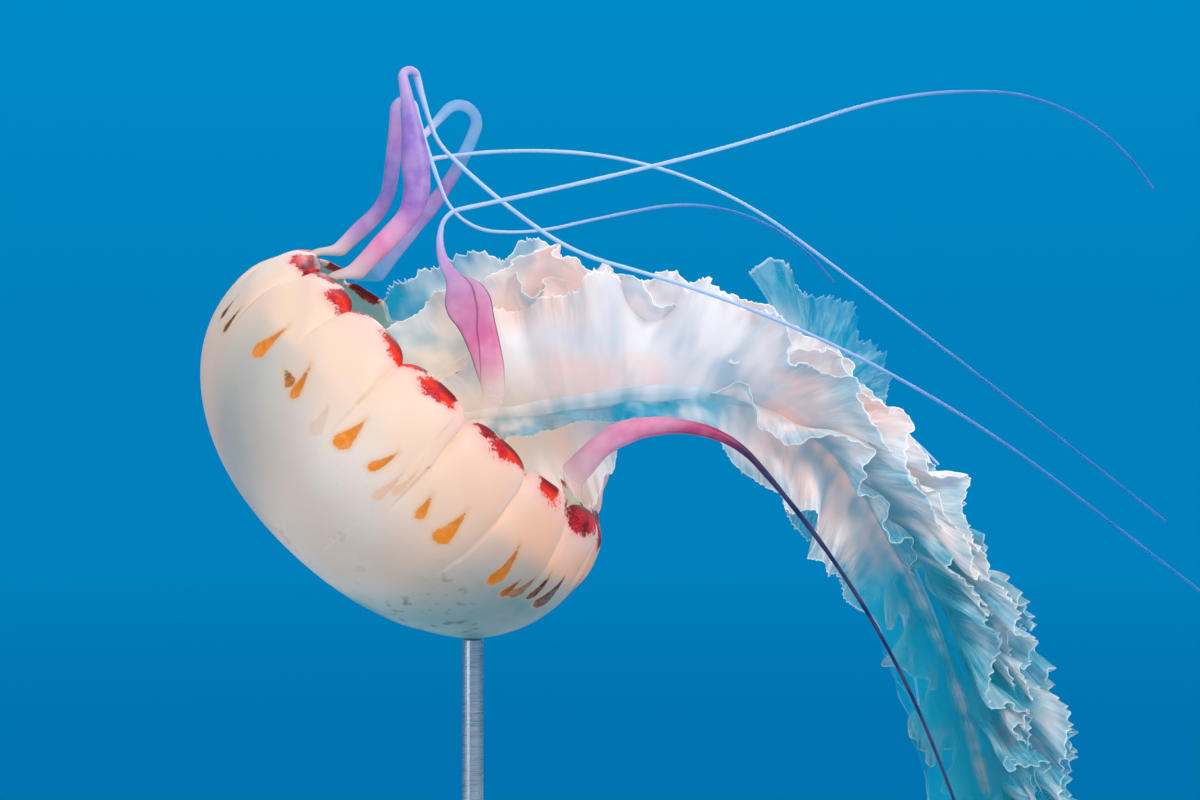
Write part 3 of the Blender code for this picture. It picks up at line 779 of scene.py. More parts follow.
@dataclass(frozen=True)
class BellFinish:
    """Cream jelly with amber strokes, crimson patches and small dark specks, with painted cool shade, painted
    limb shade, painted highlights along its creases and a painted glow inside.
    """

    cream: Colour = paint(250, 226, 202)
    milk: Colour = paint(244, 240, 234)
    peach: Colour = paint(250, 188, 156)
    rose: Colour = paint(246, 190, 196)
    painted_cool_shade: Colour = paint(72, 158, 168)
    painted_limb_shade: Colour = paint(206, 160, 142)
    amber: Colour = paint(255, 138, 0)
    # The dark umber of the strokes' margin ends; the painted limb shade's attribute carries the same name.
    umber_and_limb_shade: Colour = paint(58, 16, 4)
    crimson: Colour = paint(200, 18, 44)
    scarlet: Colour = paint(242, 46, 8)
    maroon: Colour = paint(86, 6, 20)
    speck: Colour = paint(92, 80, 36)
    crease: Colour = paint(255, 246, 240)
    stroke_halo: Colour = paint(240, 168, 96)
    patch_halo: Colour = paint(246, 150, 146)
    patch_dots: Colour = paint(236, 96, 66)
    # Strength of the painted glow inside the bell.
    inner_glow: float = 0.2
    flesh: Flesh = Flesh(depth=0.0012, weight=0.1, roughness=0.5, coat=0.06)

    def material(self) -> bpy.types.Material:
        """Builds the material."""
        made, sketch, shader = new_material("bell_jelly")
        self.flesh.set_on(shader)
        place = sketch.position()
        tissue = use_group(sketch, "tissue", Place=place, Clouds=26.0, Fibres=40.0)
        cloud = tissue.outputs["Cloud"]
        colour = sketch.mix(sketch.attribute("warm"), self.cream, self.peach)
        colour = sketch.mix(sketch.attribute("blush"), colour, self.rose)
        veil = sketch.fit(sketch.noise(place, 16.0, 2.0), 0.45, 0.7, 0.0, 0.35)
        colour = sketch.mix(veil, colour, self.milk)
        # Painted cool shade: a teal wash that stands in for the shade on the flank and lower margin, and for
        # the blue backdrop seen through the jelly toward the apex and inside.
        painted_cool_shade = sketch.times(sketch.attribute("painted_cool_shade"), sketch.fit(cloud, 0.0, 1.0, 0.75, 1.0))
        colour = sketch.mix(painted_cool_shade, colour, self.painted_cool_shade)
        # Painted limb shade: a darker pinkish brown toward the apex on the upper-left side, where the bell
        # turns away.
        colour = sketch.mix(sketch.attribute("umber_and_limb_shade"), colour, self.painted_limb_shade)
        colour = self.with_specks(sketch, colour, place)
        colour = self.with_strokes(sketch, colour, place)
        colour = self.with_patches(sketch, colour, place)
        # Painted highlight: a white line along the edges where the lobes overlap.
        painted_crease_highlight = sketch.times(sketch.attribute("crease"), 0.4)
        colour = sketch.mix(painted_crease_highlight, colour, self.crease)
        sketch.put(shader.inputs["Base Color"], colour)
        # Painted glow: the inner surface gives off light in its own colour, lightening the shade inside the
        # bell.
        lit_inside = sketch.mix(sketch.attribute("inner"), BLACK, colour)
        sketch.put(shader.inputs["Emission Color"], lit_inside)
        shader.inputs["Emission Strength"].default_value = self.inner_glow
        add_relief(sketch, shader, tissue.outputs["Relief"], 0.10, 0.0015)
        return made

    def with_specks(self, sketch: Sketch, colour: Socket, place: Socket) -> Socket:
        """Adds small greenish specks near the apex."""
        islands = sketch.noise(place, 30.0, 1.0)
        flecks = sketch.noise(place, 210.0, 1.0)
        both = sketch.times(sketch.fit(islands, 0.42, 0.6), sketch.fit(flecks, 0.58, 0.70))
        mask = sketch.times(both, sketch.attribute("specks"))
        return sketch.mix(mask, colour, self.speck)

    def with_strokes(self, sketch: Sketch, colour: Socket, place: Socket) -> Socket:
        """Adds the amber strokes, darker toward the margin."""
        inside = sketch.attribute("stroke")
        seen = sketch.attribute("stroke_weight")
        marks = use_group(sketch, "crisp_mask", Place=place, Field=inside, Grain=1.0, Softness=0.35)
        tone = sketch.mix(sketch.attribute("stroke_tone"), self.amber, self.umber_and_limb_shade)
        grain = sketch.fit(sketch.noise(place, 420.0), 0.35, 0.6, 0.78, 1.0)
        strength = sketch.times(sketch.times(marks.outputs["Mask"], grain), seen)
        halo = sketch.times(sketch.fit(inside, -2.4, 0.2, 0.0, 0.4), seen)
        warmed = sketch.mix(halo, colour, self.stroke_halo)
        return sketch.mix(strength, warmed, tone)

    def with_patches(self, sketch: Sketch, colour: Socket, place: Socket) -> Socket:
        """Adds the crimson patches, dotted inside and dark along their rims."""
        inside = sketch.attribute("patch")
        marks = use_group(sketch, "crisp_mask", Place=place, Field=inside, Grain=4.5, Softness=0.8)
        stops = ((0.0, self.scarlet), (0.45, self.crimson), (1.0, self.maroon))
        mottle = sketch.fit(sketch.noise(place, 130.0, 2.0), 0.36, 0.64, -0.3, 0.3)
        tone = sketch.colours(sketch.maths("ADD", sketch.attribute("patch_tone"), mottle), stops)
        dots = sketch.times(marks.outputs["Dots"], 0.4)
        tone = sketch.mix(dots, tone, self.patch_dots)
        dark = sketch.times(sketch.attribute("patch_rim"), 0.85)
        tone = sketch.mix(dark, tone, self.maroon)
        halo = sketch.fit(inside, -3.0, 0.4, 0.0, 0.4)
        warmed = sketch.mix(halo, colour, self.patch_halo)
        return sketch.mix(marks.outputs["Mask"], warmed, tone)


@dataclass(frozen=True)
class BellWashes:
    """Where the broad tints and the painted shade of the jelly begin and end, and how strong they are.

    Across is the sine of the azimuth: -1 at the upper left flank and 1 at the lower right one. Under is
    that of an azimuth a little lower. Angles are the profile's, in radians.
    """

    under_turn: float = 0.35
    apex_angles: Span = (0.5, 1.65)
    apex_under: Span = (-0.75, 0.3)
    apex_least: float = 0.25
    apex_painted_shade: float = 0.3
    flank_rise: Span = (-0.9, -0.68)
    flank_fall: Span = (-0.6, -0.15)
    flank_front: Span = (-0.2, 0.3)
    flank_angles: Span = (1.4, 1.75)
    flank_painted_shade: float = 0.45
    lower_across: Span = (0.4, 0.85)
    lower_angles: Span = (1.35, 1.85)
    lower_painted_shade: float = 0.85
    inner_under: Span = (-0.4, 0.5)
    inner_least: float = 0.35
    inner_painted_shade: float = 0.6
    warm_angles: Span = (0.8, 1.8)
    warm_under: Span = (-0.5, 0.7)
    warm_least: float = 0.38
    blush_angles: Span = (2.0, 2.8)
    blush_most: float = 0.35
    # Where the painted limb shade lies and how strong it is.
    limb_shade_angles: Span = (0.8, 1.5)
    limb_shade_under: Span = (0.5, 0.95)
    limb_shade_most: float = 0.25
    speck_angles: Span = (0.95, 1.45)
    speck_under: Span = (-0.8, 0.0)
    speck_most: float = 0.6

    def shades(self, azimuth: Array, angle: Array, is_inner: Array) -> Fields:
        """Works out each point's painted cool shade, warm and blushed tones, specks and painted limb shade.

        Args:
            azimuth: Azimuth of each point.
            angle: Profile angle of each point.
            is_inner: 1 for the rows of the inner surface and 0 for those of the outer one.

        Returns:
            The shades by the names that the finish reads.
        """
        outer = 1.0 - is_inner
        toward_apex = 1.0 - ramp(angle, *self.apex_angles)
        under = np.sin(azimuth - self.under_turn)
        across = np.sin(azimuth)
        flank = ramp(across, *self.flank_rise) * (1.0 - ramp(across, *self.flank_fall))
        flank = flank * ramp(np.cos(azimuth), *self.flank_front)
        lower = ramp(across, *self.lower_across)
        apex_share = self.apex_least + (1.0 - self.apex_least) * ramp(under, *self.apex_under)
        # Painted cool shade: on the upper-left flank, along the lower margin, toward the apex and over the
        # inner surface.
        painted_cool_shade = self.flank_painted_shade * flank * (1.0 - ramp(angle, *self.flank_angles)) * outer
        painted_cool_shade = painted_cool_shade + self.lower_painted_shade * lower * (1.0 - ramp(angle, *self.lower_angles)) * outer
        painted_cool_shade = painted_cool_shade + self.apex_painted_shade * toward_apex * apex_share * outer
        painted_cool_shade = painted_cool_shade + (self.inner_least + self.inner_painted_shade * ramp(-under, *self.inner_under)) * is_inner
        low_down = ramp(angle, *self.warm_angles) * ramp(under, *self.warm_under)
        # Painted limb shade: darker toward the apex on the upper-left side.
        umber_and_limb_shade = self.limb_shade_most * (1.0 - ramp(angle, *self.limb_shade_angles)) * ramp(-under, *self.limb_shade_under)
        specks = (1.0 - ramp(angle, *self.speck_angles)) * self.speck_most * outer
        return {
            "painted_cool_shade": np.clip(painted_cool_shade, 0, 1),
            "warm": (self.warm_least + (1.0 - self.warm_least) * low_down) * outer,
            "blush": ramp(angle, *self.blush_angles) * self.blush_most * outer,
            "specks": specks * ramp(under, *self.speck_under),
            "umber_and_limb_shade": umber_and_limb_shade * outer,
            "inner": is_inner,
        }


def petal_height(rise: Array) -> Array:
    """The height across a lobe that overlaps the next one: a slow rise, then a steep rounded drop."""
    root = 0.30
    slope = (root + (1.0 - root) * rise**0.8) * np.minimum(1.0, rise * 7.0)
    return slope * np.sqrt(1.0 - rise**14)


def pillow_height(within: Array) -> Array:
    """The height across an even lobe: full in its middle and 0 at its two clefts."""
    apart = np.abs(within - 0.5) * 2.0
    return np.sqrt(np.maximum(1.0 - apart**3.2, 0.0))


@dataclass
class BellSkin:
    """The bell in one piece: outer surface, lobed margin, inner surface, and the fields of its marks.

    The columns crowd together round the azimuth that faces the viewer. A mark's field counts
    millimetres from its outline, above 0 inside, and is blank far from every mark. Over the flanks each
    lobe overlaps the next one, by the share that overlap gives.
    """

    columns: int = 520
    facing: float = math.radians(8.0)
    crowding: float = 0.5
    outer_rows: int = 132
    inner_rows: int = 44
    valley: float = 4.2 * MM
    swell: float = 0.7 * MM
    overlap: float = 0.85
    lobe_angles: Span = (math.radians(58.0), math.radians(130.0))
    overlap_angles: Span = (math.radians(95.0), math.radians(125.0))
    crease_level: float = 92.0
    crease_unevenness: float = 12.0
    crease_rise: float = 16.0
    crease_run: float = 42.0
    blank: float = -20.0
    stroke_bend: float = 0.012
    stroke_taper: float = 1.15
    patch_roundness: float = 2.4
    patch_short: float = 0.8
    patch_waves: float = 0.12
    patch_level: float = 160.0
    rim_angles: Span = (math.radians(158.0), math.radians(173.0))
    front_patches: tuple[tuple[float, Patch], ...] = (
        (-1.72, Patch(width=16.0, reach=17.0, drop=7.0, tone=0.72)),
        (-0.66, Patch(width=9.5, reach=13.0, drop=5.5, tone=0.42, tilt=10.0)),
        (0.36, Patch(width=12.5, reach=9.5, drop=5.5, tone=0.02, tilt=6.0)),
        (1.05, Patch(width=7.0, reach=6.5, drop=0.5, tone=0.1, tilt=-40.0)),
        (1.72, Patch(width=3.6, reach=10.5, drop=4.5, tone=0.5, tilt=-40.0)),
        (2.28, Patch(width=10.5, reach=6.5, drop=3.0, tone=0.22, tilt=-26.0)),
        (3.0, Patch(width=5.0, reach=10.0, drop=2.5, tone=0.06, tilt=-14.0)),
        (3.46, Patch(width=2.4, reach=9.0, drop=3.0, tone=0.95)),
        (3.95, Patch(width=11.0, reach=15.0, drop=3.5, tone=0.6)),
        (5.0, Patch(width=10.0, reach=15.0, drop=3.0, tone=0.8)),
    )
    front_strokes: tuple[tuple[float, Stroke], ...] = (
        (-1.95, Stroke(level=84.0, length=10.0, width=2.4, lean=2.0, tone=1.0)),
        (-1.62, Stroke(level=83.0, length=12.0, width=2.4, lean=2.0, tone=0.9)),
        (-0.78, Stroke(level=88.0, length=17.4, width=4.0, lean=10.0, tone=0.1)),
        (-0.3, Stroke(level=84.5, length=8.5, width=3.2, lean=-70.0, tone=0.6)),
        (-0.12, Stroke(level=86.5, length=14.0, width=2.8, lean=-12.0, tone=0.22)),
        (0.34, Stroke(level=83.0, length=13.3, width=3.6, lean=-12.0, tone=0.4, weight=0.16)),
        (0.68, Stroke(level=86.0, length=14.9, width=4.4, lean=6.0, tone=0.02)),
        (1.12, Stroke(level=86.5, length=12.4, width=2.5, lean=18.0, tone=0.12)),
        (1.34, Stroke(level=82.5, length=15.8, width=2.5, lean=4.0, tone=0.1, weight=0.3)),
        (1.44, Stroke(level=86.0, length=12.4, width=2.0, lean=4.0, tone=0.1, weight=0.28)),
        (1.76, Stroke(level=85.0, length=10.8, width=2.7, lean=-14.0, tone=0.12)),
        (2.14, Stroke(level=85.5, length=16.6, width=4.7, lean=0.0, tone=0.02)),
        (2.98, Stroke(level=87.0, length=19.1, width=4.0, lean=-10.0, tone=0.26)),
        (3.3, Stroke(level=82.0, length=10.0, width=2.9, lean=0.0, tone=0.6)),
        (3.46, Stroke(level=85.0, length=14.0, width=3.4, lean=8.0, tone=0.72, weight=0.75)),
        (3.66, Stroke(level=88.0, length=15.0, width=2.6, lean=-6.0, tone=1.0)),
        (3.96, Stroke(level=88.0, length=17.0, width=6.4, lean=0.0, tone=1.0)),
    )
    finish: BellFinish = BellFinish()
    shading: BellWashes = BellWashes()

    def patches(self) -> list[tuple[float, Patch]]:
        """All patches by their place in lappets: the listed ones and, behind, one to a lappet."""
        made = list(self.front_patches)
        for lappet in range(6, 14):
            lean = math.sin(2.4 * lappet)
            patch = Patch(width=8.0 + lean, reach=9.0 - lean, drop=5.0, tone=0.4 + 0.3 * lean)
            made.append((lappet + 0.1 * lean, patch))
        return made

    def strokes(self) -> list[tuple[float, Stroke]]:
        """All strokes by their place in lappets: the listed ones and, behind, two to a lappet."""
        made = list(self.front_strokes)
        for lappet in range(5, 14):
            lean = 26.0 * math.sin(1.9 * lappet)
            level = 93.0 + 4.0 * math.cos(2.7 * lappet)
            width = 3.6 + 1.0 * math.sin(3.3 * lappet)
            long = Stroke(level=level, length=18.0, width=width, lean=lean, tone=0.25)
            short = Stroke(level=level - 3.0, length=13.0, width=width * 0.7, lean=-lean, tone=0.45)
            made += [(lappet - 0.25, long), (lappet + 0.3, short)]
        return made

    def apart(self, azimuth: Array, place: float) -> Array:
        """How far round each azimuth is, in radians, from a place counted in lappets."""
        centre = BELL.first_cleft + (place + 0.5) * (TURN / BELL.lappets)
        return (azimuth - centre + math.pi) % TURN - math.pi

    def patch_fields(self, azimuth: Array, angle: Array) -> Fields:
        """The fields of the margin's patches.

        Args:
            azimuth: Azimuth of each point.
            angle: Profile angle of each point.

        Returns:
            The patch field in millimetres, its tone and its dark rim.
        """
        inside = np.full(azimuth.shape, self.blank)
        tone = np.zeros(azimuth.shape)
        level = BELL.distance(np.radians(self.patch_level)) - BELL.distance(angle)
        for place, patch in self.patches():
            side = self.apart(azimuth, place) * BELL.margin_radius / MM
            up = level + patch.drop
            tilt = math.radians(patch.tilt)
            cosine, sine = math.cos(tilt), math.sin(tilt)
            side, up = side * cosine + up * sine, up * cosine - side * sine
            half = np.where(up > 0, patch.reach * self.patch_short, patch.reach)
            power = self.patch_roundness
            share = (np.abs(side / patch.width) ** power + np.abs(up / half) ** power) ** (1 / power)
            share = share * (1.0 + self.patch_waves * np.sin(3.0 * np.arctan2(up, side) + place))
            found = (1.0 - share) * min(patch.width, patch.reach) * 0.8
            tone = np.where(found > inside, patch.tone + 0.06 * side / patch.width, tone)
            inside = np.maximum(inside, found)
        edge = ramp(angle, *self.rim_angles) * ramp(inside, -3.0, 1.0)
        return {"patch": inside, "patch_tone": np.clip(tone, 0.0, 1.0), "patch_rim": edge}

    def stroke_fields(self, azimuth: Array, angle: Array) -> Fields:
        """The fields of the strokes over the lappets.

        Args:
            azimuth: Azimuth of each point.
            angle: Profile angle of each point.

        Returns:
            The stroke field in millimetres, its tone and how strongly it shows.
        """
        inside = np.full(azimuth.shape, self.blank)
        tone = np.zeros(azimuth.shape)
        weight = np.zeros(azimuth.shape)
        for place, stroke in self.strokes():
            side = self.apart(azimuth, place) * BELL.radius / MM
            down = BELL.distance(angle) - BELL.distance(np.radians(stroke.level))
            lean = math.radians(stroke.lean)
            along = down * math.cos(lean) + side * math.sin(lean)
            across = side * math.cos(lean) - down * math.sin(lean)
            across = across + self.stroke_bend * along**2
            share = np.clip((along + stroke.length / 2) / stroke.length, 0.0, 1.0)
            half = stroke.width * (1.0 - share) ** self.stroke_taper * np.minimum(1.0, 0.3 + share * 4.5)
            ends = stroke.length / 2 - np.abs(along)
            found = np.minimum(half - np.abs(across), ends)
            tone = np.where(found > inside, stroke.tone + 0.5 * (share - 0.35), tone)
            weight = np.where(found > inside, stroke.weight, weight)
            inside = np.maximum(inside, found)
        return {"stroke": inside, "stroke_tone": np.clip(tone, 0.0, 1.0), "stroke_weight": weight}

    def relief(self, azimuth: Array, angle: Array) -> tuple[Array, Array]:
        """How deep the outer surface sinks between its lobes.

        Args:
            azimuth: Azimuth of each point.
            angle: Profile angle of each point.

        Returns:
            The depth in metres and how near a crease each point is, from 0 to 1.
        """
        place = BELL.lappet_place(azimuth) + 0.06 * np.sin(3.0 * azimuth) * np.cos(angle)
        number = np.floor(place)
        within = place - number
        skew = np.clip(1.25 * np.sin(azimuth + 0.1), -1.0, 1.0)
        rise = np.where(skew > 0, within, 1.0 - within)
        share = self.overlap * np.abs(skew) ** 3 * ramp(angle, *self.overlap_angles)
        raised = petal_height(rise) * share + pillow_height(within) * (1.0 - share)
        reach = self.crease_level + self.crease_unevenness * np.sin(number * 2.1 + 0.6)
        reach = reach - self.crease_rise * np.maximum(skew, 0.0)
        start = ease((np.degrees(angle) - reach + 4.0) / self.crease_run)
        depth = self.valley * (1.0 - raised) * np.minimum(ramp(angle, *self.lobe_angles), start)
        crease = ramp(rise, 0.86, 0.93) * share * (1.0 - ramp(angle, 2.6, 3.0))
        return depth, crease

    def body(self) -> RingedBody:
        """Works out the skin's points and fields."""
        even = np.arange(self.columns)[None, :] * TURN / self.columns
        azimuth = self.facing + even - self.crowding * np.sin(even)
        place = BELL.lappet_place(azimuth)
        cleft = (1.0 - np.abs(place - np.round(place)) * 2.0) ** 2
        last = math.pi - BELL.cleft_depth * cleft
        outer = np.linspace(0.004, 1.0, self.outer_rows)[:, None] * last
        inner = np.linspace(1.0, 0.01, self.inner_rows)[:, None] * last
        outer_points, outer_crease = self.surface(azimuth, outer, 0.0)
        inner_points, _ = self.surface(azimuth, inner, 1.0)
        angle = np.concatenate([outer, inner])
        spread = np.broadcast_to(azimuth, angle.shape)
        points = np.concatenate([outer_points, inner_points])
        is_inner = np.repeat([0.0, 1.0], [self.outer_rows, self.inner_rows])[:, None]
        values = self.patch_fields(spread, angle)
        values.update(self.stroke_fields(spread, angle))
        values["stroke"] = values["stroke"] + self.blank * is_inner
        values["patch"] = values["patch"] + self.blank * is_inner * (1.0 - ramp(angle, 2.2, 2.9))
        values["crease"] = np.concatenate([outer_crease, np.zeros(inner.shape)])
        values.update(self.shading.shades(spread, angle, is_inner))
        return RingedBody(points, Cap.FAN, values)

    def surface(self, azimuth: Array, angle: Array, inward: float) -> tuple[Array, Array]:
        """The outer surface (inward 0) or the inner one (inward 1).

        Args:
            azimuth: Azimuth of each column.
            angle: Profile angle of each point.
            inward: The share of the wall's thickness to go in.

        Returns:
            The points and their nearness to a crease.
        """
        spread = np.broadcast_to(azimuth, angle.shape)
        radius, height = BELL.profile(angle)
        out_radius, out_height = BELL.normal(angle)
        depth, crease = self.relief(spread, angle)
        swell = self.swell * wander(spread * BELL.radius + 0.9 * angle * 0.05, TURN * BELL.radius / 7, 5)
        swell = (swell - self.swell) * ramp(angle, 0.3, 1.0)
        rolled = 1.0 - ramp(angle, 2.75, 3.1)
        shift = swell * rolled - depth * (1.0 - 0.25 * inward) - inward * BELL.thickness(angle)
        radius = np.maximum(radius + out_radius * shift, 1e-4)
        height = height + out_height * shift
        return bell_point(radius, height, spread), crease

    def build(self) -> None:
        """Adds the bell."""
        nodes = ["bell_crown", *(f"bell_lappets_{number + 1}" for number in range(BELL.lappets // 2))]
        add_piece("bell_skin", self.body(), self.finish.material(), nodes)


# ---- manubrium and arms


@dataclass(frozen=True)
class MembraneFinish:
    """Thin pleated membrane: milky, fibrous, white along its free edge, teal where it is thin, with painted
    shade in broad folds and a painted glow.

    drape is how closely the broad folds of painted shade and of thinness follow one another along and across
    it.
    """

    name: str
    milk: Colour = paint(226, 220, 222)
    rose: Colour = paint(240, 210, 202)
    cream: Colour = paint(254, 228, 208)
    edge: Colour = paint(248, 248, 248)
    shade: Colour = paint(150, 182, 198)
    teal: Colour = paint(0, 158, 184)
    # Strength of the painted glow, and how much of it is lost far along the arm.
    glow: float = 0.2
    far_glow: float = 0.5
    far_along: Span = (1.5, 2.6)
    drape: tuple[float, float, float] = (7.0, 1.3, 0.0)
    drape_shade: float = 0.18
    drape_thinning: float = 0.14
    edge_thinning: float = 0.14
    rim_tint: float = 0.55
    thickest_alpha: float = 0.92
    thin_alpha: float = 0.68
    rim_alpha: float = 0.26
    streak_alpha: float = 0.8
    least_alpha: float = 0.16
    flesh: Flesh = Flesh(depth=0.002, weight=0.3, roughness=0.55, coat=0.05)

    def material(self) -> bpy.types.Material:
        """Builds the material."""
        made, sketch, shader = new_material(self.name)
        self.flesh.set_on(shader)
        along = sketch.attribute("along")
        across = sketch.attribute("across")
        place = sketch.place(along, sketch.times(across, 2.2))
        tissue = use_group(sketch, "tissue", Place=place, Clouds=7.0, Fibres=70.0)
        drape = sketch.noise(sketch.stretched(sketch.place(along, across), *self.drape), 1.0, 2.0, 0.5)
        thin = self.thinness(sketch, sketch.attribute("thin"), across, drape)
        streak = sketch.times(tissue.outputs["Fibre"], sketch.attribute("silk"))
        rim = sketch.times(sketch.fit(across, 0.975, 1.0), sketch.fit(thin, 0.85, 1.2, 1.0, 0.15))
        blot = sketch.noise(sketch.position(), 26.0, 2.0)
        colour = sketch.mix(sketch.fit(blot, 0.40, 0.62), self.milk, self.rose)
        # Painted shade: a blue-grey wash in broad folds that stands in for the soft shadows between the
        # membrane's folds.
        colour = sketch.mix(sketch.fit(drape, 0.50, 0.72, 0.0, self.drape_shade), colour, self.shade)
        at_root = sketch.fit(along, 0.12, 0.6, 0.8, 0.0)
        warm = sketch.times(at_root, sketch.fit(across, 0.3, 0.9, 1.0, 0.35))
        colour = sketch.mix(warm, colour, self.cream)
        colour = sketch.mix(sketch.fit(thin, 0.1, 0.85), colour, self.teal)
        colour = sketch.mix(streak, colour, self.edge)
        colour = sketch.mix(sketch.times(rim, self.rim_tint), colour, self.edge)
        sketch.put(shader.inputs["Base Color"], colour)
        # Painted glow: the membrane gives off light in its own colour to lift its shaded folds, with less of
        # it far along the arm.
        dim = sketch.fit(along, *self.far_along, 0.0, 1.0 - self.far_glow)
        sketch.put(shader.inputs["Emission Color"], sketch.mix(dim, colour, BLACK))
        shader.inputs["Emission Strength"].default_value = self.glow
        sketch.put(shader.inputs["Alpha"], self.alpha(sketch, thin, rim, streak))
        add_relief(sketch, shader, tissue.outputs["Relief"], 0.05, 0.001)
        return made

    def thinness(self, sketch: Sketch, thin: Socket, across: Socket, drape: Socket) -> Socket:
        """How thin the membrane is, varied in broad folds and toward its edge."""
        patchy = sketch.fit(drape, 0.34, 0.66, -self.drape_thinning, self.drape_thinning)
        varied = sketch.maths("ADD", thin, sketch.times(patchy, sketch.fit(thin, 0.0, 0.2)))
        return sketch.maths("MULTIPLY_ADD", sketch.fit(across, 0.60, 0.93), self.edge_thinning, varied)

    def alpha(self, sketch: Sketch, thin: Socket, rim: Socket, streak: Socket) -> Socket:
        """How solid the membrane is: less where it is thin, more at its rim and in its streaks."""
        solid = sketch.maths("SUBTRACT", self.thickest_alpha, sketch.times(thin, self.thin_alpha))
        solid = sketch.maths("MULTIPLY_ADD", rim, self.rim_alpha, solid)
        solid = sketch.maths("MULTIPLY_ADD", streak, self.streak_alpha, solid)
        return sketch.maths("MINIMUM", sketch.maths("MAXIMUM", solid, self.least_alpha), 1.0)


# A place along an arm goes to its finish in this many millimetres.
PLACE_UNIT = 100.0


@dataclass(frozen=True)
class LipPlan:
    """One lip of an arm, station by station along the bundle.

    shape rows: place mm, lean deg, curl deg, reach mm, sweep mm. Lean is the lip's direction
    at the rib: 0 toward the viewer, 90 up, 180 away. Curl is its turn from rib to edge.
    ruffle rows: place mm, then how far the edge swings in its coarse, middle and fine folds, in radians.
    thin rows: place mm, then how thin the membrane is near the rib and near the edge, from 0 to 1.
    coarse rows: place mm, then the length of a coarse fold in mm.
    """

    name: str
    shape: Stations
    ruffle: Stations
    thin: Stations
    seed: int
    coarse: Stations = ((0.0, 34.0), (110.0, 30.0), (150.0, 27.0), (375.0, 22.0))
    rows: int = 30
    columns: int = 1250
    rag: float = 0.035
    teeth: float = 0.035
    tooth: float = 2.6
    billow: float = 12.0
    unrest: float = 0.12
    softness: float = 6.0
    silk: float = 1.0
    smooth_from: float = 400.0


@dataclass(frozen=True)
class ArmPlan:
    """One arm: the nodes it stands for, its rib's path and its lips.

    rib rows: place mm, then mm toward the viewer and mm up from the bundle's middle.
    """

    name: str
    rib: Stations
    lips: tuple[LipPlan, ...]
    rib_width: float = 2.0


BUNDLE_START_HEIGHT = 0.0135
BUNDLE_RUNS = (
    Run(0.055, -38, -0.0067), Run(0.060, -32, 0.003), Run(0.080, -35, 0.003), Run(0.100, -16, 0.004),
    Run(0.080, -10, 0.002),
)


class Bundle:
    """The path that the four arms share, with directions across it."""

    def __init__(self) -> None:
        """Lays the path out from the middle of the mouth."""
        start = bell_point(0.0, BUNDLE_START_HEIGHT, 0.0)
        self.route = Route(start, BELL.elevation, BUNDLE_RUNS)

    def place(self, along: Array, near: Array, up: Array) -> Array:
        """Points from their distance along the bundle and their place across it.

        Args:
            along: Distances along the bundle.
            near: How far toward the viewer.
            up: How far up, square to the bundle.

        Returns:
            The points.
        """
        tangent = self.route.direction(along, reach=0.006)
        toward = np.array([0.0, -1.0, 0.0])
        toward = unit(toward - tangent * (tangent @ toward)[..., None])
        upper = np.cross(toward, tangent)
        return self.route.point(along) + toward * near[..., None] + upper * up[..., None]


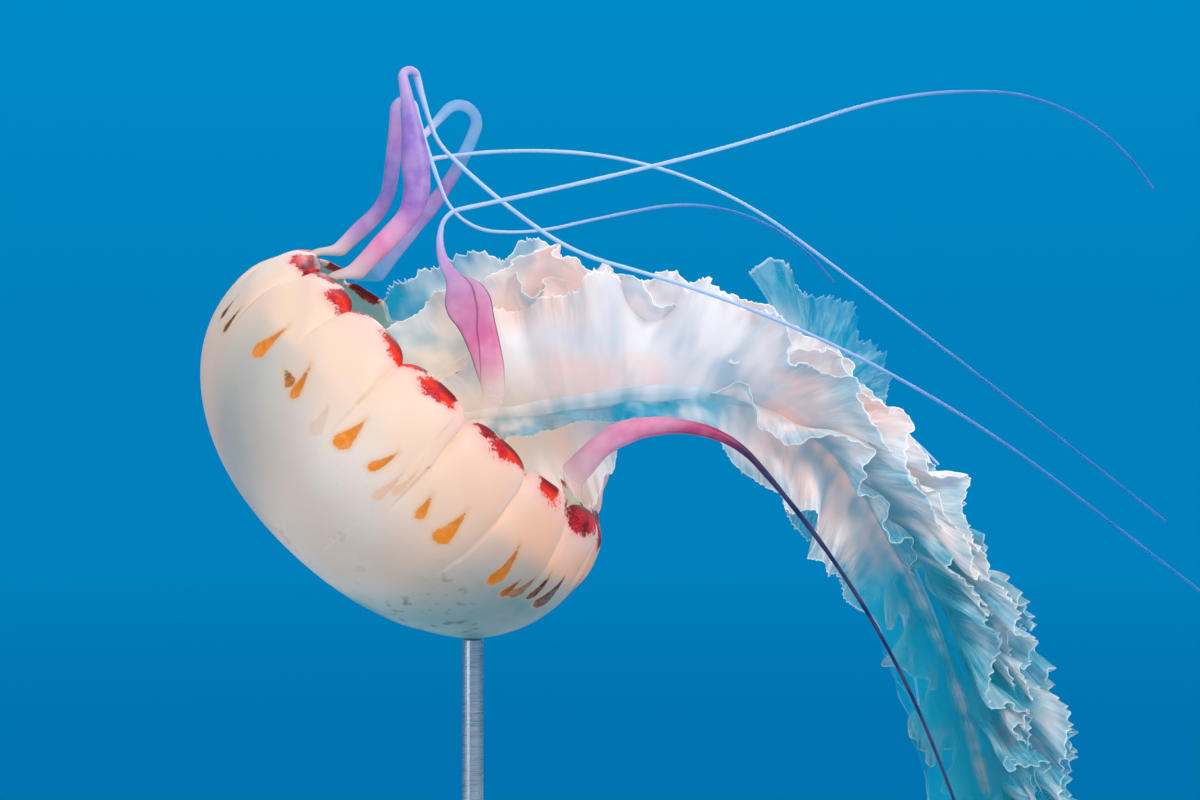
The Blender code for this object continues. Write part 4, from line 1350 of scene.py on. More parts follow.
@dataclass
class Lip:
    """A ruffled membrane that grows from an arm's rib.

    A span of places is in millimetres along the bundle. A span of rows is in shares of the way from
    the rib, which is 0, to the free edge, which is 1.
    """

    plan: LipPlan
    rib: Stations
    bundle: Bundle
    root_thickness: float = 1.3
    thickness_loss: float = 1.0
    thickness_rows: Span = (0.0, 0.7)
    row_crowding: float = 1.25
    middle_folds: float = 2.7
    middle_rows: Span = (0.35, 1.0)
    fine_folds: float = 7.3
    fine_rows: Span = (0.78, 1.0)
    torn_rows: Span = (0.5, 1.0)
    sweep_power: float = 1.4
    comb_places: Span = (190.0, 240.0)
    comb_gain: float = 2.0
    smoothing_length: float = 18.0
    rib_rows: Span = (0.02, 0.2)
    rib_share: float = 0.6
    thin_rows: Span = (0.35, 0.85)
    thin_unevenness: float = 0.22
    silk_places: Span = (110.0, 170.0)
    silk_rows: Span = (0.3, 0.85)
    least_silk: float = 0.02
    silk_gain: float = 0.26

    def swings(self, along: Array, across: Array, wave: Array) -> Array:
        """The direction of the sheet's lengthwise lines against the bundle's, in radians.

        Args:
            along: Places along the bundle in millimetres, one for each column.
            across: Shares of the way from rib to edge, one for each row.
            wave: The coarse wavelength at each column in millimetres.

        Returns:
            The angle at each row and column.
        """
        coarse, middle, fine = at_stations(self.plan.ruffle, along, 8.0)
        phase = np.cumsum(TURN * np.gradient(along) / wave)
        seed = self.plan.seed
        first = np.sin(phase + 1.3 * wander(along, 70.0, seed))
        second = np.sin(self.middle_folds * phase + 1.8 * wander(along, 40.0, seed + 1))
        third = np.sin(self.fine_folds * phase + 2.4 * wander(along, 22.0, seed + 2))
        vary = 1.0 + 0.4 * wander(along, 45.0, seed + 3)
        rows = across[:, None]
        total = coarse * vary * first * ease(rows * 1.05)
        total = total + middle * second * ramp(rows, *self.middle_rows)
        return total + fine * third * ramp(rows, *self.fine_rows)

    def middle(self) -> tuple[Array, Array, Array]:
        """Works out the middle surface.

        Each row is walked along in steps of even length whose direction swings. Dividing by the mean
        cosine keeps the row level with the bundle, and taking the mean off keeps it from drifting.

        Returns:
            The points by row and column, the share across of each row and the place along of
            each column in millimetres.
        """
        plan = self.plan
        columns = plan.columns
        length = self.bundle.route.length / MM
        along = np.linspace(plan.shape[0][0], min(plan.shape[-1][0], length), columns)
        across = 1.0 - (1.0 - np.linspace(0.0, 1.0, plan.rows)) ** self.row_crowding
        (wave,) = at_stations(plan.coarse, along, 10.0)
        swing = self.swings(along, across, wave)
        step = np.gradient(along)
        width = float(np.mean(wave) / step[0])
        mean = np.maximum(soften(np.cos(swing), width), 0.2)
        run = np.cumsum(np.cos(swing) / mean * step, axis=1)
        run += along[0] - run[:, :1]
        run -= soften(run - along, width)
        side = np.cumsum(np.sin(swing) / mean * step, axis=1)
        side -= soften(side, width)
        side = side * ramp(along, along[0], along[0] + 10.0)
        lean, curl, reach, sweep = at_stations(plan.shape, along, plan.softness)
        billow = plan.billow * wander(along, 2.2 * wave.mean(), plan.seed + 7)
        reach = reach * (1.0 + plan.unrest * wander(along, 1.3 * wave.mean(), plan.seed + 8))
        rows = across[:, None]
        angle = np.radians(lean + (curl + billow) * rows)
        stretched = reach * (1.0 - self.ragged(along, wave) * ramp(rows, *self.torn_rows))
        gaps = np.diff(across, prepend=0.0)[:, None]
        near = np.cumsum(np.cos(angle) * gaps, axis=0) * stretched
        up = np.cumsum(np.sin(angle) * gaps, axis=0) * stretched
        rib_near, rib_up = at_stations(self.rib, along, 8.0)
        near = rib_near + near - np.sin(angle) * side
        up = rib_up + up + np.cos(angle) * side
        place = run + sweep * rows**self.sweep_power
        points = self.bundle.place(place * MM, near * MM, up * MM)
        return points, across, along

    def ruffled(self, along: Array) -> Array:
        """1 where the edge is torn and silky, and 0 past the place where the plan has it smooth."""
        return 1.0 - ramp(along, self.plan.smooth_from, self.plan.smooth_from + self.smoothing_length)

    def ragged(self, along: Array, wave: Array) -> Array:
        """How much of the reach is torn off at each column, between teeth, in grit and in longer bites."""
        plan = self.plan
        chance = np.random.default_rng(plan.seed + 11)
        beat = along / plan.tooth + 0.8 * wander(along, 3.0 * plan.tooth, plan.seed + 12)
        gap = np.abs(np.sin(math.pi * beat)) ** 0.6
        grit = soften(chance.uniform(0.0, 1.0, (1, len(along))), 1.2)[0]
        bites = np.maximum(wander(along, wave.mean(), plan.seed + 13), 0.0) ** 2
        comb = 1.0 + self.comb_gain * ramp(along, *self.comb_places)
        torn = plan.teeth * comb * gap + plan.rag * (0.9 * grit + 1.6 * bites)
        return torn * self.ruffled(along)

    def body(self) -> RingedBody:
        """Works out the lip's closed sheet."""
        points, across, along = self.middle()
        rows = across[:, None]
        thickness = (self.root_thickness - self.thickness_loss * ramp(rows, *self.thickness_rows)) * MM
        thin_root, thin_edge = at_stations(self.plan.thin, along, 12.0)
        cloudy = self.thin_unevenness * wander(along, 16.0, self.plan.seed + 15)
        thinning = thin_root + (thin_edge - thin_root) * ramp(rows + cloudy, *self.thin_rows)
        thinning = thinning * (self.rib_share + (1.0 - self.rib_share) * ramp(rows, *self.rib_rows))
        silk = self.least_silk + self.silk_gain * ramp(along, *self.silk_places)
        silk = self.plan.silk * silk * self.ruffled(along)
        values = {
            "across": rows,
            "along": along / PLACE_UNIT,
            "thin": np.clip(thinning, 0.0, 1.0),
            "silk": silk * ramp(rows, *self.silk_rows),
        }
        return sheet_body(points, thickness, values)


@dataclass
class Arms:
    """The four oral arms with their ribs and lips."""

    plans: tuple[ArmPlan, ...]
    bundle: Bundle
    rib_sides: int = 16
    rib_columns: int = 520
    rib_flatness: float = 0.55
    rib_ridges: int = 6
    rib_tapers: tuple[tuple[float, Span], ...] = ((0.6, (230.0, 372.0)), (0.6, (105.0, 165.0)))
    rib_tone: float = 0.12
    rib_thinning: tuple[tuple[float, Span], ...] = (
        (0.2, (10.0, 60.0)),
        (0.2, (105.0, 160.0)),
        (0.7, (195.0, 230.0)),
    )

    def rib_body(self, plan: ArmPlan) -> RingedBody:
        """The thick band that an arm's lips grow from."""
        along = np.linspace(2.0, self.bundle.route.length / MM - 4.0, self.rib_columns)
        near, up = at_stations(plan.rib, along, 8.0)
        taper = math.prod(1.0 - loss * ramp(along, *span) for loss, span in self.rib_tapers)
        turn = TURN * np.arange(self.rib_sides) / self.rib_sides
        wide = ((1.0 + 0.09 * wander(along, 30.0, 3)) * plan.rib_width * taper)[:, None]
        ridge = 1.0 + 0.10 * np.cos(self.rib_ridges * turn)
        across_near = near[:, None] + self.rib_flatness * wide * np.cos(turn) * ridge
        across_up = up[:, None] + wide * np.sin(turn) * ridge
        place = np.broadcast_to(along[:, None], across_near.shape)
        points = self.bundle.place(place * MM, across_near * MM, across_up * MM)
        values = {
            "across": 0.1,
            "along": place / PLACE_UNIT,
            "thin": self.rib_tone + sum(more * ramp(place, *span) for more, span in self.rib_thinning),
            "silk": 0.0,
        }
        return RingedBody(points, Cap.FAN, values)

    def build(self) -> None:
        """Adds the ribs and lips."""
        finish = MembraneFinish("arm_membrane").material()
        greys = {"milk": paint(196, 208, 218), "rose": paint(210, 212, 216), "shade": paint(164, 184, 200)}
        band = MembraneFinish("arm_band", **greys).material()
        for plan in self.plans:
            nodes = [f"oral_arm_{plan.name}_{number}" for number in (1, 2, 3)]
            add_piece(f"arm_{plan.name}_rib", self.rib_body(plan), band, nodes)
            for lip in plan.lips:
                body = Lip(lip, plan.rib, self.bundle).body()
                add_piece(f"arm_{plan.name}_{lip.name}", body, finish, nodes)


FAR_RUFFLE = ((0, 0.5, 0.3, 0.4), (100, 0.8, 0.6, 0.7), (150, 1.3, 0.9, 0.8), (375, 1.5, 0.8, 0.8))
FAR_THIN = ((0, 0.3, 0.2), (110, 0.3, 0.2), (220, 1.0, 0.5), (375, 1.1, 0.8))

FRONT_LOWER_LIPS = (
    LipPlan(
        name="upper_lip",
        shape=(
            (4, 62, 30, 16, -6), (25, 60, 40, 27, -2), (42, 58, 50, 40, 0), (58, 58, 54, 47, 0),
            (85, 60, 50, 47, 0), (110, 60, 34, 42, 2), (135, 44, 20, 36, 8), (170, 24, 20, 30, 18),
            (210, 44, 12, 27, 23), (320, 50, 10, 20, 20), (374, 50, 10, 9, 4),
        ),
        ruffle=(
            (0, 0.3, 0.1, 0.2), (60, 0.7, 0.4, 0.7), (100, 0.8, 0.7, 0.9), (130, 1.35, 0.7, 0.6),
            (375, 1.4, 0.6, 0.6),
        ),
        thin=(
            (0, 0.1, 0.1), (60, 0.12, 0.1), (100, 0.15, 0.1), (150, 0.4, 0.3), (220, 0.9, 0.5),
            (375, 1.1, 0.8),
        ),
        seed=21, billow=24.0,
    ),
    LipPlan(
        name="lower_lip",
        shape=(
            (4, 300, -10, 20, 0), (25, 296, -10, 12, 0), (60, 285, -10, 9, 2),
            (100, 284, -8, 11, 6), (122, 290, -6, 15, 10), (138, 290, -4, 27, 20),
            (150, 288, 0, 27, 22), (166, 292, 0, 20, 18), (182, 288, 0, 34, 20),
            (198, 282, 0, 29, 16), (218, 275, 0, 21, 12), (320, 275, 0, 20, 10),
            (374, 275, 0, 8, 4),
        ),
        ruffle=(
            (0, 0.3, 0.1, 0.3), (100, 0.3, 0.3, 0.4), (140, 1.1, 0.5, 0.4), (205, 1.1, 0.5, 0.4),
            (228, 0.12, 0.05, 0.0), (375, 0.08, 0.05, 0.0),
        ),
        thin=(
            (0, 0.3, 0.3), (60, 0.8, 0.8), (110, 0.6, 0.4), (140, 0.3, 0.2), (205, 0.4, 0.35),
            (228, 1.0, 1.0), (375, 1.1, 1.1),
        ),
        seed=33, smooth_from=205.0,
    ),
    LipPlan(
        name="web_lip",
        shape=((190, 60, 0, 4, 0), (208, 64, 0, 23, 4), (320, 64, 0, 21, 6), (374, 60, 0, 6, 2)),
        ruffle=((190, 0.1, 0.1, 0.0), (374, 0.1, 0.05, 0.0)),
        thin=((190, 0.8, 0.9), (240, 1.0, 1.0), (374, 1.1, 1.1)),
        seed=191, columns=420, rows=12, smooth_from=190.0,
    ),
    LipPlan(
        name="middle_lip",
        shape=(
            (118, 14, -10, 3, 0), (136, 14, -20, 14, 4), (156, 16, -26, 23, 10),
            (184, 18, -26, 21, 12), (204, 22, -10, 13, 14), (222, 24, 0, 3, 6),
        ),
        ruffle=(
            (118, 0.4, 0.4, 0.3), (145, 1.3, 0.7, 0.5), (200, 1.2, 0.7, 0.5), (236, 0.4, 0.3, 0.2),
        ),
        thin=((118, 0.3, 0.2), (150, 0.4, 0.2), (200, 0.6, 0.5), (222, 1.0, 1.0)),
        seed=151, columns=760, unrest=0.3, billow=26.0,
    ),
)

FRONT_UPPER_LIPS = (
    LipPlan(
        name="upper_lip",
        shape=(
            (4, 100, -10, 24, -4), (25, 96, -12, 26, 0), (50, 90, -14, 32, 0), (80, 86, -14, 22, 0),
            (110, 84, -14, 20, 0), (130, 78, -12, 24, -4), (150, 72, -8, 25, 4),
            (180, 66, 0, 23, 14), (240, 78, 0, 26, 20), (320, 78, 0, 27, 22), (374, 70, 0, 9, 4),
        ),
        ruffle=(
            (0, 0.5, 0.3, 0.4), (30, 1.2, 0.6, 0.8), (60, 1.1, 0.6, 0.8), (100, 0.8, 0.7, 1.0),
            (140, 1.4, 0.65, 0.6), (375, 1.5, 0.6, 0.6),
        ),
        thin=(
            (0, 0.35, 0.3), (40, 0.2, 0.15), (110, 0.15, 0.05), (165, 0.22, 0.08), (225, 0.9, 0.35),
            (375, 1.1, 0.7),
        ),
        seed=47, billow=18.0, unrest=0.2,
    ),
    LipPlan(
        name="petal_lip",
        shape=(
            (26, 70, 10, 4, 0), (38, 62, 16, 20, 4), (60, 60, 18, 24, 4), (84, 60, 18, 19, 4),
            (104, 64, 10, 8, 0),
        ),
        ruffle=(
            (26, 0.8, 0.4, 0.4), (40, 1.35, 0.6, 0.6), (84, 1.35, 0.6, 0.6), (104, 0.8, 0.4, 0.4),
        ),
        thin=((26, 0.15, 0.2), (60, 0.1, 0.22), (104, 0.1, 0.2)),
        coarse=((26, 22.0), (104, 18.0)), seed=171, columns=420, billow=30.0, unrest=0.25,
    ),
    LipPlan(
        name="near_lip",
        shape=(
            (96, 30, 10, 4, 0), (120, 24, 10, 12, 2), (145, 24, 14, 26, 8), (195, 30, 14, 25, 20),
            (230, 62, 8, 19, 20), (320, 62, 8, 15, 17), (374, 60, 0, 8, 4),
        ),
        ruffle=((96, 0.5, 0.4, 0.4), (130, 1.35, 0.65, 0.6), (375, 1.45, 0.6, 0.6)),
        thin=((96, 0.1, 0.0), (170, 0.25, 0.1), (240, 0.95, 0.35), (375, 1.1, 0.75)),
        seed=59, columns=1000, unrest=0.25,
    ),
)

BACK_UPPER_LIPS = (
    LipPlan(
        name="upper_lip",
        shape=(
            (2, 100, 0, 35, 8), (14, 98, -4, 42, 4), (35, 96, -6, 39, 0), (52, 94, -8, 33, 0),
            (68, 94, -8, 18, 0), (110, 94, -8, 15, 0), (135, 96, -6, 17, 0), (158, 98, -4, 20, 10),
            (170, 100, 0, 24, 14), (182, 100, 0, 20, 16), (200, 100, 0, 25, 20),
            (250, 100, 0, 31, 28), (320, 100, 0, 30, 30), (374, 100, 0, 9, 4),
        ),
        ruffle=(
            (0, 0.15, 0.15, 0.6), (60, 0.4, 0.4, 0.9), (110, 0.7, 0.6, 1.0), (140, 1.2, 0.8, 0.8),
            (180, 1.5, 0.8, 0.8), (375, 1.5, 0.8, 0.9),
        ),
        thin=(
            (0, 0.8, 0.7), (30, 0.5, 0.35), (60, 0.3, 0.2), (100, 0.2, 0.1), (165, 0.3, 0.15),
            (210, 0.9, 0.5), (375, 1.1, 0.9),
        ),
        seed=71, unrest=0.12, teeth=0.05, rag=0.05,
    ),
    LipPlan(
        name="fan",
        shape=(
            (140, 92, -4, 34, -26), (144, 92, -4, 41, -16), (150, 94, -4, 38, -6),
            (156, 96, -4, 37, 4), (163, 98, -4, 26, 8), (168, 98, -4, 16, 8),
        ),
        ruffle=((140, 0.9, 0.4, 0.3), (152, 1.0, 0.5, 0.3), (168, 0.9, 0.4, 0.3)),
        thin=((140, 0.4, 0.6), (150, 0.6, 0.8), (156, 0.9, 1.1), (168, 0.9, 1.1)),
        coarse=((140, 6.4), (168, 6.0)), seed=131, columns=420, softness=1.0, teeth=0.06, tooth=0.9,
        billow=16.0, silk=1.2,
    ),
    LipPlan(
        name="far_lip",
        shape=(
            (6, 170, 0, 12, 0), (60, 165, 0, 26, 0), (110, 165, 0, 22, 0), (150, 160, 0, 28, 10),
            (240, 160, 0, 27, 22), (320, 160, 0, 22, 20), (374, 160, 0, 8, 4),
        ),
        ruffle=FAR_RUFFLE, thin=FAR_THIN, seed=83, columns=1000,
    ),
)

BACK_LOWER_LIPS = (
    LipPlan(
        name="lower_lip",
        shape=(
            (3, 268, 0, 38, -4), (20, 268, 4, 54, 0), (42, 268, 4, 58, 10), (60, 268, 4, 56, 17),
            (69, 268, 4, 39, 14), (79, 268, 4, 21, 0), (110, 268, 2, 20, 4), (140, 266, 0, 26, 14),
            (180, 266, 0, 26, 20), (215, 266, 0, 22, 14), (240, 266, 0, 18, 10),
            (320, 266, 0, 22, 8), (374, 266, 0, 8, 4),
        ),
        ruffle=(
            (0, 0.4, 0.3, 0.4), (60, 0.5, 0.4, 0.6), (110, 0.3, 0.3, 0.4), (160, 0.7, 0.6, 0.6),
            (215, 0.2, 0.1, 0.1), (240, 0.1, 0.05, 0.0), (375, 0.08, 0.05, 0.0),
        ),
        thin=(
            (0, 0.0, 0.02), (62, 0.0, 0.05), (77, 0.8, 0.8), (140, 0.7, 0.5), (220, 1.0, 0.95),
            (375, 1.1, 1.1),
        ),
        seed=97, rag=0.06, smooth_from=215.0,
    ),
    LipPlan(
        name="far_lip",
        shape=(
            (6, 195, 0, 12, 0), (60, 200, 0, 24, 0), (110, 200, 0, 20, 0), (150, 205, 0, 28, 10),
            (240, 205, 0, 26, 20), (320, 205, 0, 22, 18), (374, 205, 0, 8, 4),
        ),
        ruffle=FAR_RUFFLE, thin=FAR_THIN, seed=109, columns=1000,
    ),
)

ARM_PLANS = (
    ArmPlan(
        name="front_lower", rib_width=4.2,
        rib=(
            (0, 7, -7), (25, 12, -20), (55, 14, -24), (85, 13, -21), (110, 11, -15), (140, 8, -8),
            (180, 5, -4), (375, 3, -3),
        ),
        lips=FRONT_LOWER_LIPS,
    ),
    ArmPlan(
        name="front_upper",
        rib=((0, 7, 7), (25, 9, 5), (60, 6, 3), (110, 6, 3), (375, 3, 3)),
        lips=FRONT_UPPER_LIPS,
    ),
    ArmPlan(
        name="back_upper",
        rib=((0, -7, 7), (25, -8, 7), (60, -6, 5), (375, -3, 3)),
        lips=BACK_UPPER_LIPS,
    ),
    ArmPlan(
        name="back_lower",
        rib=((0, -7, -7), (25, -8, -8), (60, -6, -8), (110, -5, -6), (375, -3, -3)),
        lips=BACK_LOWER_LIPS,
    ),
)


@dataclass
class Manubrium:
    """The four-cornered stalk that hangs inside the bell and carries the arms."""

    top_radius: float = 0.016
    waist_radius: float = 0.0125
    end_height: float = 0.017
    top_gap: float = 0.0006
    inset: float = 0.03
    corner: float = 0.12
    pleat: float = 0.035
    pleats: int = 24
    rings: int = 90
    sides: int = 160

    def body(self) -> RingedBody:
        """Works out the stalk, pleated toward the mouth."""
        top = BELL.height - BELL.apex_thickness - self.top_gap
        share = np.linspace(0.0, 1.0, self.rings)[:, None]
        azimuth = TURN * np.arange(self.sides)[None, :] / self.sides
        height = top + (self.end_height - top) * share
        waist = np.sin(math.pi * share)
        radius = self.top_radius + (self.waist_radius - self.top_radius) * waist
        corners = self.corner * share * np.cos(4 * azimuth + math.pi)
        folds = self.pleat * np.cos(self.pleats * azimuth + 3.0 * np.sin(5.0 * share)) * share
        radius = radius * (1.0 + corners + folds - self.inset)
        shape = radius.shape
        points = bell_point(radius, np.broadcast_to(height, shape), np.broadcast_to(azimuth, shape))
        return RingedBody(points, Cap.FAN, {"across": 0.2, "along": share, "thin": 0.0, "silk": 0.05})

    def build(self) -> None:
        """Adds the stalk."""
        finish = MembraneFinish("stalk_jelly", milk=paint(250, 236, 218), rose=paint(250, 222, 204))
        add_piece("manubrium_skin", self.body(), finish.material(), ["manubrium"])


# ---- tentacles


@dataclass(frozen=True)
class TentacleFinish:
    """Muscular jelly that changes colour from root to filament, with dark rims where it is flat."""

    name: str
    stops: ColourStops
    clear: float = 0.0
    rim: float = 0.0
    sheen: Colour = paint(246, 226, 240)
    rim_tone: Colour = paint(96, 10, 40)
    flesh: Flesh = Flesh(depth=0.0015, weight=0.15, roughness=0.5, coat=0.12)

    def material(self) -> bpy.types.Material:
        """Builds the material."""
        made, sketch, shader = new_material(self.name)
        self.flesh.set_on(shader)
        along = sketch.attribute("along")
        colour = sketch.colours(along, self.stops)
        tissue = use_group(sketch, "tissue", Place=sketch.position(), Clouds=110.0, Fibres=2.0)
        cloudy = sketch.times(tissue.outputs["Cloud"], sketch.fit(along, 0.15, 0.3, 0.25, 0.05))
        colour = sketch.mix(cloudy, colour, self.sheen)
        rim = sketch.fit(sketch.maths("ABSOLUTE", sketch.attribute("around")), 0.93, 0.99)
        fold = sketch.fit(sketch.maths("ABSOLUTE", sketch.attribute("fold")), 0.02, 0.08, 0.6, 0.0)
        edge = sketch.times(sketch.maths("MAXIMUM", rim, fold), sketch.attribute("flat"))
        colour = sketch.mix(sketch.times(edge, self.rim), colour, self.rim_tone)
        sketch.put(shader.inputs["Base Color"], colour)
        clear = sketch.times(sketch.attribute("clear"), self.clear)
        sketch.put(shader.inputs["Alpha"], sketch.maths("SUBTRACT", 1.0, clear))
        add_relief(sketch, shader, tissue.outputs["Cloud"], 0.08, 0.0006)
        return made


@dataclass(frozen=True)
class TentaclePlan:
    """A tentacle: the azimuth of its root in degrees, its girth, its runs and its finish.

    lengths is how many CAD nodes it stands for.
    girth rows: share of the length, width and thickness in millimetres.
    clear rows: share of the length, then how clear it is there, for the finish to scale.
    """

    azimuth: float
    lengths: int
    girth: Stations
    runs: tuple[Run, ...]
    finish: TentacleFinish
    clear: Stations = ((0.0, 0.0), (1.0, 0.0))
    softness: float = 0.02


FILAMENT_WIDTH = 1.0
STOUT = (
    (0.0, 7.0, 5.5), (0.06, 7.0, 5.5), (0.12, 11.0, 6.0), (0.145, 9.0, 5.0), (0.18, 4.0, 3.0),
    (0.22, 2.8, 2.4), (0.25, 1.6, 1.5),
)
SLIM = ((0.0, 6.0, 4.5), (0.17, 5.6, 4.2), (0.24, 4.4, 3.4), (0.28, 1.9, 1.8), (0.45, 1.2, 1.2))
VEILED = (
    (0.0, 13.0, 3.4), (0.06, 7.0, 3.4), (0.12, 5.0, 3.0), (0.16, 4.6, 2.6), (0.20, 4.2, 2.4),
    (0.24, 2.6, 2.0), (0.28, 1.4, 1.4),
)
RIBBON = (
    (0.0, 6.5, 3.0), (0.03, 7.5, 2.8), (0.061, 10.3, 2.6), (0.096, 12.2, 2.4), (0.122, 15.8, 2.4),
    (0.143, 15.0, 2.4), (0.153, 9.0, 2.4), (0.162, 5.0, 2.4), (0.19, 2.8, 2.0), (0.22, 1.6, 1.5),
)
LASH = (
    (0.0, 11.0, 6.5), (0.11, 8.6, 6.0), (0.22, 4.6, 4.0), (0.28, 2.6, 2.4), (0.36, 1.9, 1.9),
    (0.5, 1.5, 1.5),
)
REAR = ((0.0, 7.0, 5.0), (0.20, 4.4, 3.6), (0.45, 1.6, 1.6))

PALE_BLUE = paint(178, 204, 242)
FAR_BLUE = paint(30, 116, 184)
ROSE_ROOT = paint(240, 205, 205)
CREAM_ROOT = paint(252, 226, 208)
ROOT_FADE = ((0.0, 0.7), (0.03, 0.15), (0.05, 0.0), (1.0, 0.0))


def drawn_out(*stops: tuple[float, Colour]) -> ColourStops:
    """The colours of a whole tentacle from those of its first part, with a filament that turns far blue."""
    return (*stops, (0.5, PALE_BLUE), (0.85, FAR_BLUE))


def rear_tentacle(number: int, azimuth: float, tone: Colour, *runs: Run) -> TentaclePlan:
    """A tentacle on the far side.

    Args:
        number: Its number among the rear ones.
        azimuth: The azimuth of its root in degrees.
        tone: The colour past its root.
        runs: Its path.

    Returns:
        The plan.
    """
    finish = TentacleFinish(f"tentacle_rear_{number}", ((0.0, ROSE_ROOT), (0.15, tone), (0.5, PALE_BLUE)))
    return TentaclePlan(azimuth, 3, REAR, runs, finish)


TENTACLES = (
    TentaclePlan(
        -52, 4, STOUT,
        (
            Run(0.0265, 0, 0.004), Run(0.018, 47, 0.003), Run(0.039, 8, 0.005), Run(0.0075, -178, 0.006),
            Run(0.020, 5, -0.003), Run(0.012, 26, -0.003), Run(0.045, 10, -0.010), Run(0.030, 20, -0.004),
            Run(0.180, -22, 0.006), Run(0.070, 0, 0.008),
        ),
        TentacleFinish(
            "tentacle_lilac",
            drawn_out(
                (0.0, CREAM_ROOT), (0.05, paint(232, 136, 180)), (0.10, paint(146, 98, 184)),
                (0.16, paint(140, 104, 190)), (0.20, paint(190, 158, 214)), (0.24, PALE_BLUE),
            ),
            clear=1.0,
        ),
        clear=ROOT_FADE,
    ),
    TentaclePlan(
        -78, 4, SLIM,
        (
            Run(0.019, -4, 0.003), Run(0.016, 38, 0.002), Run(0.028, 10, 0.001), Run(0.011, -166, 0.002),
            Run(0.034, 6, -0.003), Run(0.026, 66, -0.001), Run(0.026, 17, 0.006), Run(0.034, -3, 0.008),
            Run(0.080, -65, 0.022),
        ),
        TentacleFinish(
            "tentacle_mauve",
            drawn_out(
                (0.0, CREAM_ROOT), (0.08, paint(196, 146, 200)), (0.15, paint(112, 88, 184)),
                (0.22, paint(180, 130, 190)), (0.30, PALE_BLUE),
            ),
            clear=1.0,
        ),
        clear=ROOT_FADE,
    ),
    TentaclePlan(
        -124, 4, VEILED,
        (
            Run(0.031, 0, -0.004), Run(0.041, 22, -0.004), Run(0.018, 160, -0.006), Run(0.0165, 0, -0.003),
            Run(0.010, 142, 0.002), Run(0.055, -14, 0.012), Run(0.095, -33, 0.022), Run(0.190, -2, 0.018),
        ),
        TentacleFinish(
            "tentacle_veiled",
            drawn_out(
                (0.0, paint(150, 208, 232)), (0.05, paint(176, 160, 212)), (0.11, paint(150, 90, 180)),
                (0.15, paint(130, 190, 228)), (0.21, paint(150, 196, 232)), (0.24, paint(232, 206, 230)),
                (0.30, PALE_BLUE),
            ),
            clear=0.6,
        ),
        clear=(
            (0.0, 1.6), (0.03, 1.1), (0.06, 0.7), (0.10, 0.2), (0.14, 0.8), (0.20, 0.9), (0.235, 0.1),
            (0.3, 0.0), (1.0, 0.0),
        ),
    ),
    TentaclePlan(
        15, 4, RIBBON,
        (
            Run(0.009, 52, 0.001), Run(0.026, 13, 0.003), Run(0.018, 14, 0.005), Run(0.018, -48, 0.004),
            Run(0.010, -66, 0.001), Run(0.075, 2, 0.006), Run(0.065, 5, 0.006), Run(0.060, -20, 0.010),
            Run(0.075, -55, 0.020),
        ),
        TentacleFinish(
            "tentacle_ribbon",
            drawn_out(
                (0.0, CREAM_ROOT), (0.035, paint(250, 206, 198)), (0.08, paint(226, 104, 150)),
                (0.12, paint(218, 124, 172)), (0.165, paint(196, 140, 194)), (0.24, PALE_BLUE),
            ),
            clear=0.95, rim=0.9,
        ),
        clear=(
            (0.0, 1.0), (0.03, 0.9), (0.06, 0.2), (0.08, 0.0), (0.11, 0.2), (0.15, 0.2), (0.17, 0.0),
            (1.0, 0.0),
        ),
        softness=0.006,
    ),
    TentaclePlan(
        56, 4, LASH,
        (
            Run(0.013, 0, -0.003), Run(0.020, -36, -0.001), Run(0.024, -26, 0.0), Run(0.022, -33, 0.001),
            Run(0.060, -9, 0.006), Run(0.060, -10, 0.010), Run(0.080, -7, 0.012),
        ),
        TentacleFinish(
            "tentacle_lash",
            (
                (0.0, CREAM_ROOT), (0.05, paint(236, 168, 186)), (0.13, paint(222, 116, 156)),
                (0.23, paint(170, 40, 96)), (0.28, paint(66, 24, 72)), (0.33, paint(8, 30, 84)),
                (1.0, paint(0, 34, 92)),
            ),
            clear=1.0,
        ),
        clear=((0.0, 1.0), (0.02, 0.85), (0.06, 0.3), (0.10, 0.0), (1.0, 0.0)),
    ),
    rear_tentacle(
        1, 101, paint(222, 140, 176), Run(0.013, 38, 0.010), Run(0.022, 8, 0.014), Run(0.030, -80, 0.012),
        Run(0.070, -42, 0.004), Run(0.060, -18, -0.004),
    ),
    rear_tentacle(
        2, 146, paint(210, 150, 200), Run(0.030, -22, 0.0), Run(0.060, -46, 0.0), Run(0.065, -38, -0.002),
        Run(0.070, -14, -0.004), Run(0.045, -8, -0.004),
    ),
    rear_tentacle(
        3, 191, paint(200, 150, 208), Run(0.030, -26, 0.0), Run(0.070, -42, -0.001),
        Run(0.070, -36, -0.002), Run(0.075, -18, -0.004), Run(0.050, -8, -0.002),
    ),
)


